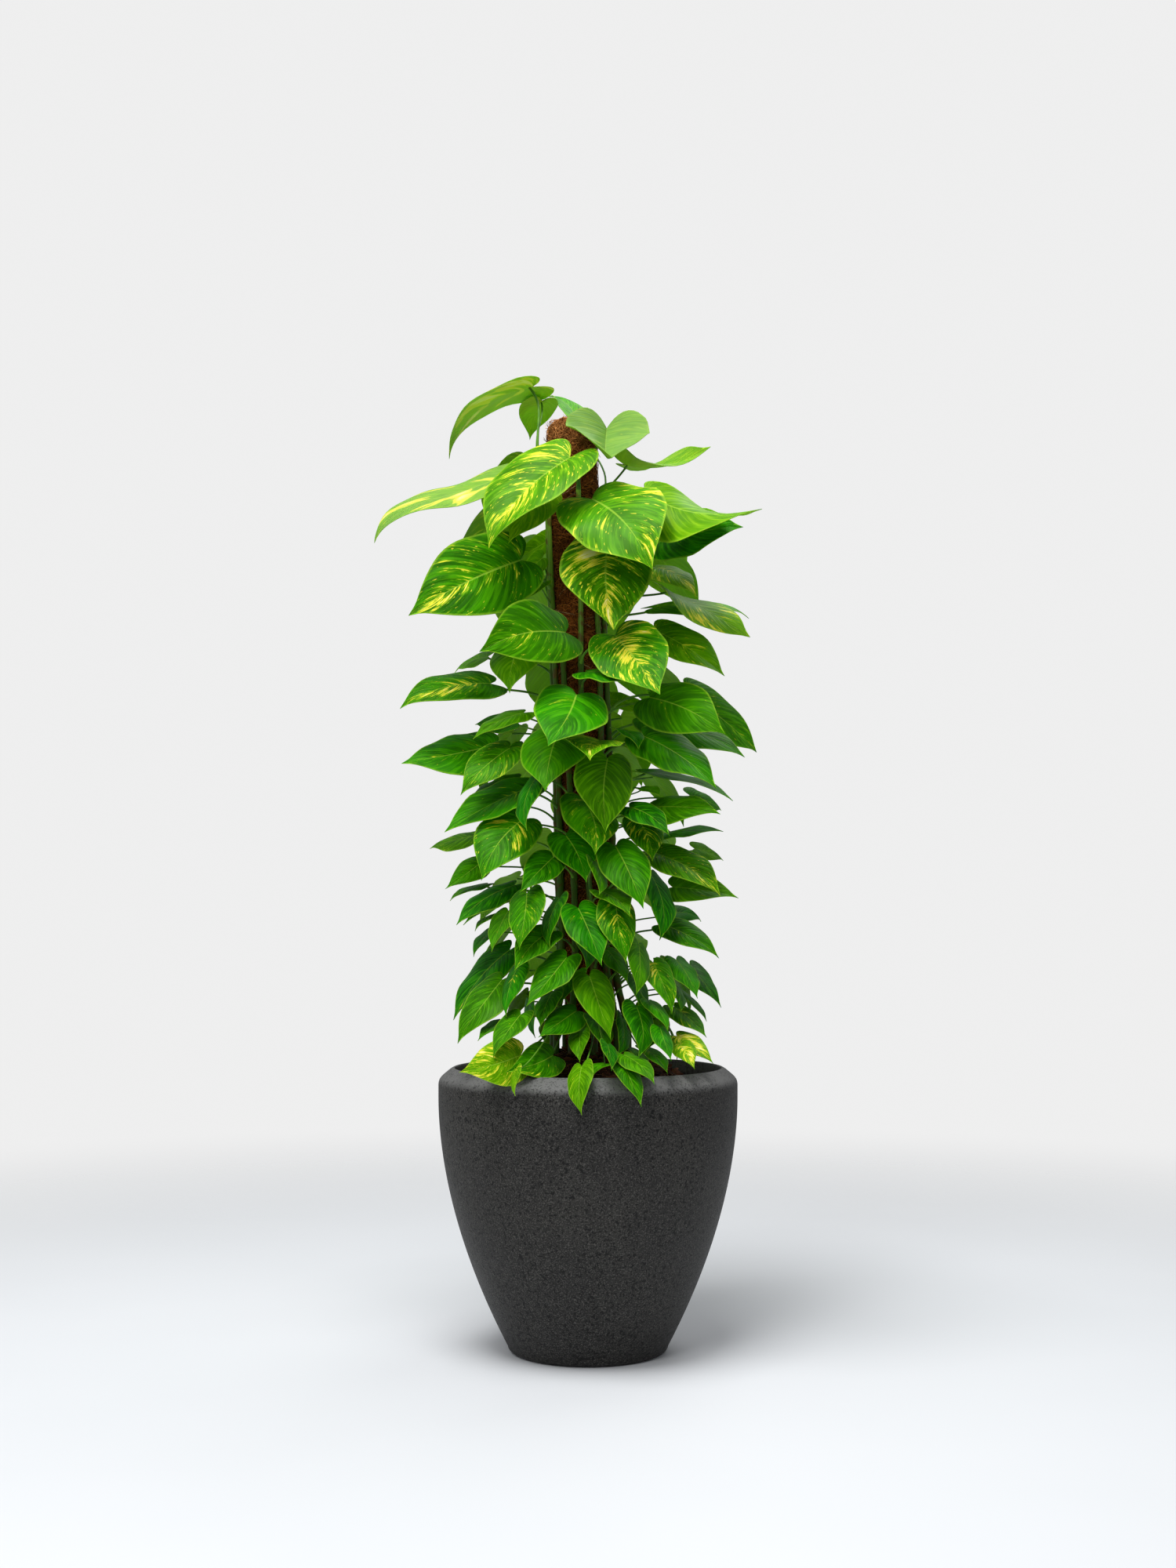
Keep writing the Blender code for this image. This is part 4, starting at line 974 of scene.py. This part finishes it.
class Wire:
    """A node's output in a material; sums on it add Math nodes."""

    def __init__(self, sheet, made, output=0):
        self.sheet = sheet
        self.made = made
        self.socket = made.outputs[output]

    def pin(self, output):
        return Wire(self.sheet, self.made, output)

    def __add__(self, other):
        return self.sheet.math("ADD", self, other)

    def __sub__(self, other):
        return self.sheet.math("SUBTRACT", self, other)

    def __rsub__(self, other):
        return self.sheet.math("SUBTRACT", other, self)

    def __mul__(self, other):
        return self.sheet.math("MULTIPLY", self, other)


class Finish:
    """A Principled material and the procedural nodes that feed it."""

    def __init__(self, name, roughness, **constants):
        self.material = bpy.data.materials.new(name)
        self.material.use_nodes = True
        self.tree = self.material.node_tree
        self.surface = self.tree.nodes["Principled BSDF"]
        self.surface.inputs["Roughness"].default_value = roughness
        for socket, value in constants.items():
            self.surface.inputs[socket.replace("_", " ")].default_value = value

    def node(self, kind, settings=None, sockets=None, output=0):
        """A node of a kind: its settings first, then the values or links of its sockets."""
        made = self.tree.nodes.new("ShaderNode" + kind)
        for key, value in (settings or {}).items():
            setattr(made, key, value)
        for key, value in (sockets or {}).items():
            if isinstance(value, Wire):
                self.tree.links.new(value.socket, made.inputs[key])
            else:
                made.inputs[key].default_value = value
        return Wire(self, made, output)

    def math(self, operation, first, second=0.0):
        return self.node("Math", {"operation": operation}, {0: first, 1: second})

    def step(self, value, low, high):
        """0 below low, 1 above high, smooth between; the other way round where low is higher."""
        settings = {"interpolation_type": "SMOOTHSTEP"}
        ends = (0.0, 1.0) if low < high else (1.0, 0.0)
        low, high = min(low, high), max(low, high)
        sockets = {0: value, 1: low, 2: high, 3: ends[0], 4: ends[1]}
        return self.node("MapRange", settings, sockets)

    def above(self, value, edge, soft):
        """0 where value is below edge, 1 where it is past edge by soft; edge may be a wire."""
        settings = {"use_clamp": True, "operation": "DIVIDE"}
        return self.node("Math", settings, {0: value - edge, 1: soft})

    def mix(self, factor, first, second):
        settings = {"data_type": "RGBA", "clamp_factor": True}
        return self.node("Mix", settings, {0: factor, 6: first, 7: second}, output=2)

    def noise(self, place, scale, detail=2.0, roughness=0.5, distortion=0.0):
        """Smooth noise round 0.5; the scale is its cycles along one unit of the place."""
        sockets = {"Vector": place, "Scale": scale, "Detail": detail}
        sockets.update({"Roughness": roughness, "Distortion": distortion})
        return self.node("TexNoise", {}, sockets)

    def place(self):
        return self.node("TexCoord", output="Object")

    def mark(self, name):
        """The three values of a named attribute of the mesh."""
        return self.split(self.node("Attribute", {"attribute_name": name}, output="Vector"))

    def scaled(self, place, factors):
        return self.node("VectorMath", {"operation": "MULTIPLY"}, {0: place, 1: factors})

    def joined(self, x, y, z):
        return self.node("CombineXYZ", {}, {0: x, 1: y, 2: z})

    def split(self, vector):
        apart = self.node("SeparateXYZ", {}, {0: vector})
        return apart, apart.pin(1), apart.pin(2)

    def feed(self, socket, wire):
        self.tree.links.new(wire.socket, self.surface.inputs[socket])

    def paint(self, color, height, distance, strength):
        """The material, with its colour and a relief of a height, distance and strength."""
        sockets = {"Height": height, "Distance": distance, "Strength": strength}
        self.feed("Base Color", color)
        self.feed("Normal", self.node("Bump", {}, sockets))
        return self.material


def rgb(red, green, blue):
    """Linear colour with alpha from display values of 0 to 255."""
    return (*[(channel / 255) ** 2.2 for channel in (red, green, blue)], 1.0)


def blade_finish(name, under):
    """Pothos blade: green with side veins, a pale midrib, and flecks and streaks of yellow.

    An age above 1 adds a pale grey-green painted sheen; a fleck below -0.1 or above 0.95 makes
    the streaks broad.
    """
    roughness = 0.52 if under else 0.42
    finish = Finish(name, roughness, **BLADE_LIGHT)
    s, q, _ = finish.split(finish.node("UVMap", {"uv_map": "UVMap"}))
    chance, age_and_sheen, fleck = finish.mark("leaf")
    side = q * 2.0 - 1.0
    reach = finish.math("ABSOLUTE", side)
    curve = s - reach * 0.09 - reach * reach * 0.05
    seed = chance * 57.0

    def pattern(along, across, shift, *settings):
        """Noise drawn out along the side veins, another one on every leaf."""
        place = finish.joined(curve * along, side * across, seed + shift)
        return finish.noise(place, 1, *settings)

    # Ground: deep green with dusky patches, lighter strands and veins
    deep = finish.mix(chance, rgb(10, 84, 2), rgb(30, 122, 2))
    fresh = finish.mix(age_and_sheen, rgb(62, 158, 6), rgb(154, 190, 30))
    green = finish.mix(age_and_sheen, deep, rgb(106, 162, 6))
    shade = pattern(6.0, 1.5, 20.0, 3, 0.6)
    dusk = finish.mix(age_and_sheen, rgb(2, 62, 0), rgb(72, 132, 2))
    green = finish.mix(finish.step(shade, 0.42, 0.62) * 0.6, green, dusk)
    strand = pattern(42.0, 1.4, 0.0, 2, 0.5, 0.2)
    broad = finish.step(finish.math("ABSOLUTE", fleck - 0.4), 0.52, 0.56)
    green = finish.mix(finish.step(strand, 0.45, 0.68) * (0.6 - broad * 0.45), green, fresh)
    line = finish.math("ABSOLUTE", finish.math("SINE", curve * (3.1416 * VEINS)))
    vein = finish.step(line, 0.22, 0.02)
    green = finish.mix(vein * (1.1 - reach) * 0.32, green, fresh)

    # Variegation: clusters of ragged streaks with a pale core and a lime feather, and specks
    cluster = pattern(4.2, 1.0, 9.0)
    streaks = pattern(27.0, 1.15, 0.0, 3, 0.6, 0.25)
    ragged = pattern(110.0, 4.0, 3.0, 2, 0.6)
    inner = (finish.math("FRACT", chance * 7.3) - 0.4) * (0.55 - reach) * 0.16
    level = cluster * 0.36 + streaks * 0.42 + ragged * 0.22 + inner
    coarse = pattern(9.0, 1.1, 15.0)
    level = level + broad * (cluster * 0.1 + coarse * 0.8 - level)
    edge = 0.68 - fleck * 0.185
    feather = finish.above(level, edge - 0.045, 0.04)
    streak = finish.above(level, edge, 0.012)
    core = finish.above(level, edge + 0.05, 0.04)
    specks = pattern(75.0, 7.0, 5.0)
    speck = finish.above(specks, 0.77 - fleck * 0.15, 0.02) * (1.0 - broad)
    lime = finish.mix(feather * 0.6, green, rgb(132, 182, 26))
    yellow = finish.mix(core, rgb(222, 212, 60), rgb(244, 234, 156))
    splash = finish.math("MAXIMUM", streak, speck * 0.8)
    surface = finish.mix(splash * 0.95, lime, yellow)

    # Paler edge and midrib, a painted sheen past age 1, and an underside painted bright as if lit
    # through
    margin = finish.step(reach, 0.925, 0.985)
    surface = finish.mix(margin * 0.45, surface, rgb(150, 190, 50))
    middle = finish.step(reach, 0.034, 0.012)
    surface = finish.mix(middle * 0.5, surface, rgb(156, 194, 62))
    # Painted sheen: leaves past age 1 turn a pale grey-green that stands in for their glossy
    # sheen
    surface = finish.mix(finish.step(age_and_sheen, 1.0, 2.0), surface, rgb(112, 136, 92))
    if under:
        # Painted light: the underside, paler in itself, is painted a bright lime that stands in
        # for light shining through the blade
        skin = finish.mix(age_and_sheen, rgb(146, 212, 48), rgb(186, 238, 50))
        surface = finish.mix(0.5, surface, skin)
    finish.feed("Roughness", shade * 0.2 + (roughness - 0.1))
    ridge = finish.step(line, 0.0, 0.95)
    relief = ridge * (-0.35 if under else 0.35) + strand * 0.1
    relief = relief + middle * (0.6 if under else -0.5)
    return finish.paint(surface, relief, 1.2 * MM, 0.4)


def stem_finish():
    """Green climbing stem with pale streaks along it and brown scars, darker lower down."""
    finish = Finish("stem_green", 0.45, **STEM_LIGHT)
    place = finish.place()
    _, _, z = finish.split(place)
    streaks = finish.noise(finish.scaled(place, (420, 420, 14)), 1)
    blots = finish.noise(place, 70, 3)
    green = finish.mix(streaks, rgb(66, 122, 18), rgb(146, 184, 66))
    green = finish.mix(finish.step(z, 1.22, 0.95) * 0.8, green, rgb(40, 66, 16))
    green = finish.mix(finish.step(blots, 0.52, 0.64) * 0.75, green, rgb(88, 62, 30))
    return finish.paint(green, streaks, 0.6 * MM, 0.5)


def stalk_finish():
    """Leaf stalk: mid green, paler in streaks."""
    finish = Finish("stalk_green", 0.42, **STEM_LIGHT)
    place = finish.place()
    blots = finish.noise(place, 40)
    fine = finish.noise(place, 300)
    green = finish.mix(finish.step(blots, 0.35, 0.7), rgb(34, 92, 14), rgb(96, 150, 40))
    green = finish.mix(fine * 0.3, green, rgb(130, 170, 66))
    return finish.paint(green, fine, 0.3 * MM, 0.4)


def root_finish():
    """Aerial root: brown and woody, with a paler skin in places."""
    finish = Finish("aerial_root", 0.8, Specular_IOR_Level=0.2)
    place = finish.place()
    skin = finish.step(finish.noise(place, 150, 3), 0.4, 0.65)
    brown = finish.mix(skin, rgb(78, 52, 32), rgb(140, 108, 70))
    return finish.paint(brown, finish.noise(place, 700), 0.4 * MM, 0.6)


def coir_finish(name, light):
    """Coconut fibre: brown and matted, with threads and gaps painted in part as lit and shaded,
    and its top painted paler and sandier where the light from above reaches it.
    """
    finish = Finish(name, 0.95, Specular_IOR_Level=0.08)
    place = finish.place()
    _, _, z = finish.split(place)
    blots = finish.noise(place, 30, 3, 0.6)
    lines = []
    for factors in ((70, 70, 150), (150, 150, 60), (110, 110, 110)):
        thread = finish.noise(finish.scaled(place, factors), 1, 2, 0.5, 1.4)
        lines.append(finish.step(finish.math("ABSOLUTE", thread - 0.5), 0.055, 0.0))
    mat = finish.math("MAXIMUM", finish.math("MAXIMUM", lines[0], lines[1]), lines[2] * 0.8)
    # Painted light and shade in part: the gaps between thread lines are painted dark as shaded
    # and the lines lighter as lit, over the fibres' own browns
    dark = finish.mix(blots, rgb(34, 16, 5), rgb(82, 42, 14))
    brown = finish.mix(mat * 0.75, dark, finish.mix(blots, rgb(116, 64, 24), rgb(168, 100, 44)))
    # Painted light: the top of the sleeve, lit from above, is painted paler and sandier
    top = finish.step(z, 1.27, 1.34)
    painted_lit_top = finish.mix(mat, rgb(112, 62, 26), rgb(222, 150, 84))
    brown = finish.mix(top * 0.8, brown, painted_lit_top)
    if light:
        strand = finish.noise(place, 85, 1)
        # The pale strands are painted paler still on top, the same painted light
        pale = finish.mix(top, rgb(170, 104, 48), rgb(226, 156, 92))
        brown = finish.mix(finish.step(strand, 0.36, 0.6), brown, pale)
    return finish.paint(brown, mat, 2.2 * MM, 0.9)


def soil_finish():
    """Damp potting mix, dark red-brown with lighter crumbs."""
    finish = Finish("potting_mix_crumb", 0.95, Specular_IOR_Level=0.15)
    place = finish.place()
    crumbs = finish.noise(place, 160, 4, 0.65)
    bits = finish.noise(place, 420)
    earth = finish.mix(finish.step(crumbs, 0.35, 0.7), rgb(26, 15, 10), rgb(74, 44, 28))
    earth = finish.mix(finish.step(bits, 0.62, 0.72) * 0.6, earth, rgb(128, 86, 54))
    return finish.paint(earth, crumbs + bits * 0.5, 2.5 * MM, 0.9)


def bark_finish():
    """Bark pieces, each of its own brown."""
    finish = Finish("bark_brown", 0.88, Specular_IOR_Level=0.2)
    shade, _, _ = finish.mark("chip")
    grain = finish.noise(finish.scaled(finish.place(), (260, 620, 620)), 1, 3, 0.6)
    brown = finish.mix(shade, rgb(42, 24, 16), rgb(112, 68, 42))
    brown = finish.mix(grain * 0.6, brown, rgb(62, 34, 22))
    return finish.paint(brown, grain, 0.8 * MM, 0.8)


def planter_finish():
    """Matte anthracite cast wall with open pits, a dusty mottle, painted shade in the pits and
    low on the wall, and a rim painted paler where the light from above falls.
    """
    finish = Finish("anthracite_cast", 0.62, Specular_IOR_Level=0.25)
    place = finish.place()
    _, _, z = finish.split(place)
    cloud = finish.noise(place, 8, 4, 0.65)
    grain = finish.noise(place, 560, 3, 0.6)
    crowd = finish.noise(place, 16)
    pits = finish.above(finish.noise(place, 190), 0.700 - crowd * 0.16, 0.02)
    small = finish.above(finish.noise(place, 360, 1), 0.68 - crowd * 0.11, 0.03)
    # Painted light: the rim's bevel, facing up to the lights, is painted paler; it also keeps
    # fewer pits
    painted_lit_rim = finish.step(z, 0.382, 0.396)
    hollow = finish.math("MAXIMUM", pits, small) * (1.0 - painted_lit_rim * 0.6)
    wall = finish.mix(finish.step(cloud, 0.3, 0.7), rgb(33, 32, 31), rgb(49, 48, 45))
    # Painted shade: the wall is painted darker towards its foot, away from the light above
    wall = finish.mix(finish.step(z, 0.34, 0.04) * 0.6, wall, rgb(22, 22, 22))
    wall = finish.mix(finish.step(grain, 0.47, 0.67) * 0.46, wall, rgb(103, 101, 97))
    # Painted highlight: the rim painted pale grey
    wall = finish.mix(painted_lit_rim * 0.6, wall, rgb(116, 116, 115))
    # Painted shade: the pits are painted near-black, the shade inside them
    wall = finish.mix(hollow * 0.9, wall, rgb(6, 6, 6))
    finish.feed("Roughness", cloud * 0.12 + grain * 0.1 + 0.46)
    return finish.paint(wall, grain * 0.3 - hollow, 1.5 * MM, 0.9)


def wood_finish():
    """Plain stake wood."""
    finish = Finish("stake_wood_grain", 0.7)
    grain = finish.noise(finish.scaled(finish.place(), (120, 120, 9)), 1, 3, 0.5, 0.6)
    wood = finish.mix(grain, rgb(150, 112, 72), rgb(190, 152, 106))
    return finish.paint(wood, grain, 0.4 * MM, 0.4)


def floor_finish():
    """Pale painted floor, very slightly uneven in tone, that fades out into the backdrop."""
    finish = Finish("pale_floor", 0.6)
    place = finish.place()
    cloud = finish.noise(place, 1.2, 3)
    finish.feed("Base Color", finish.mix(cloud, rgb(214, 217, 220), rgb(224, 226, 229)))
    away = finish.node("VectorMath", {"operation": "LENGTH"}, {0: place}, output="Value")
    start, end = FLOOR_FADE
    finish.feed("Alpha", finish.step(away, end, start))
    return finish.material


def make_stage():
    """A wide pale floor, a pale backdrop and soft lights from above and the front."""
    shape = bmesh.new()
    bmesh.ops.create_circle(shape, cap_ends=True, segments=96, radius=FLOOR_FADE[1])
    floor = add_piece("floor", finished_mesh(shape, "floor"), [floor_finish()])

    world = bpy.data.worlds.new("studio")
    world.use_nodes = True
    nodes, links = world.node_tree.nodes, world.node_tree.links
    ambient = nodes["Background"]
    backdrop = nodes.new("ShaderNodeBackground")
    for glow, settings in ((ambient, AMBIENT), (backdrop, BACKDROP)):
        for socket, value in zip(("Color", "Strength"), settings):
            glow.inputs[socket].default_value = value
    seen = nodes.new("ShaderNodeLightPath")
    either = nodes.new("ShaderNodeMixShader")
    links.new(seen.outputs["Is Camera Ray"], either.inputs[0])
    links.new(ambient.outputs[0], either.inputs[1])
    links.new(backdrop.outputs[0], either.inputs[2])
    links.new(either.outputs[0], nodes["World Output"].inputs["Surface"])
    bpy.context.scene.world = world

    for name, spot, aim, size, power in LIGHTS:
        lamp = bpy.data.lights.new(name, "AREA")
        lamp.shape = "DISK"
        lamp.size = size
        lamp.energy = power
        light = add_piece(name, lamp)
        light.location = spot
        light.rotation_euler = (Vector(aim) - Vector(spot)).to_track_quat("-Z", "Y").to_euler()


def make_camera():
    """The level camera of the front view, shifted up to frame the plant."""
    lens = bpy.data.cameras.new("camera")
    lens.lens = CAMERA_LENS
    lens.sensor_width = 36
    lens.shift_y = CAMERA_RISE
    camera = add_piece("camera", lens)
    camera.location = Vector(EYE)
    camera.rotation_euler = (math.pi / 2, 0, 0)
    bpy.context.scene.camera = camera


def main():
    """Builds the looks of the plant."""
    make_stage()
    make_camera()
    make_planter(planter_finish())
    make_soil(soil_finish(), bark_finish(), root_finish())
    make_pole(coir_finish("coir_mat", False), coir_finish("coir_strand", True))
    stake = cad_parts["pole_stake"]
    stake.data.materials.clear()
    stake.data.materials.append(wood_finish())
    blades = [blade_finish("pothos_blade", False), blade_finish("pothos_blade_under_painted_backlight", True)]
    greens = blades + [stem_finish(), stalk_finish(), root_finish()]
    stems, vines = grow_plant()
    for index, (stem, leaves) in enumerate(zip(stems, vines)):
        dress_vine(index, stem, leaves, greens)
    bpy.context.scene.view_settings.view_transform = "Standard"


main()
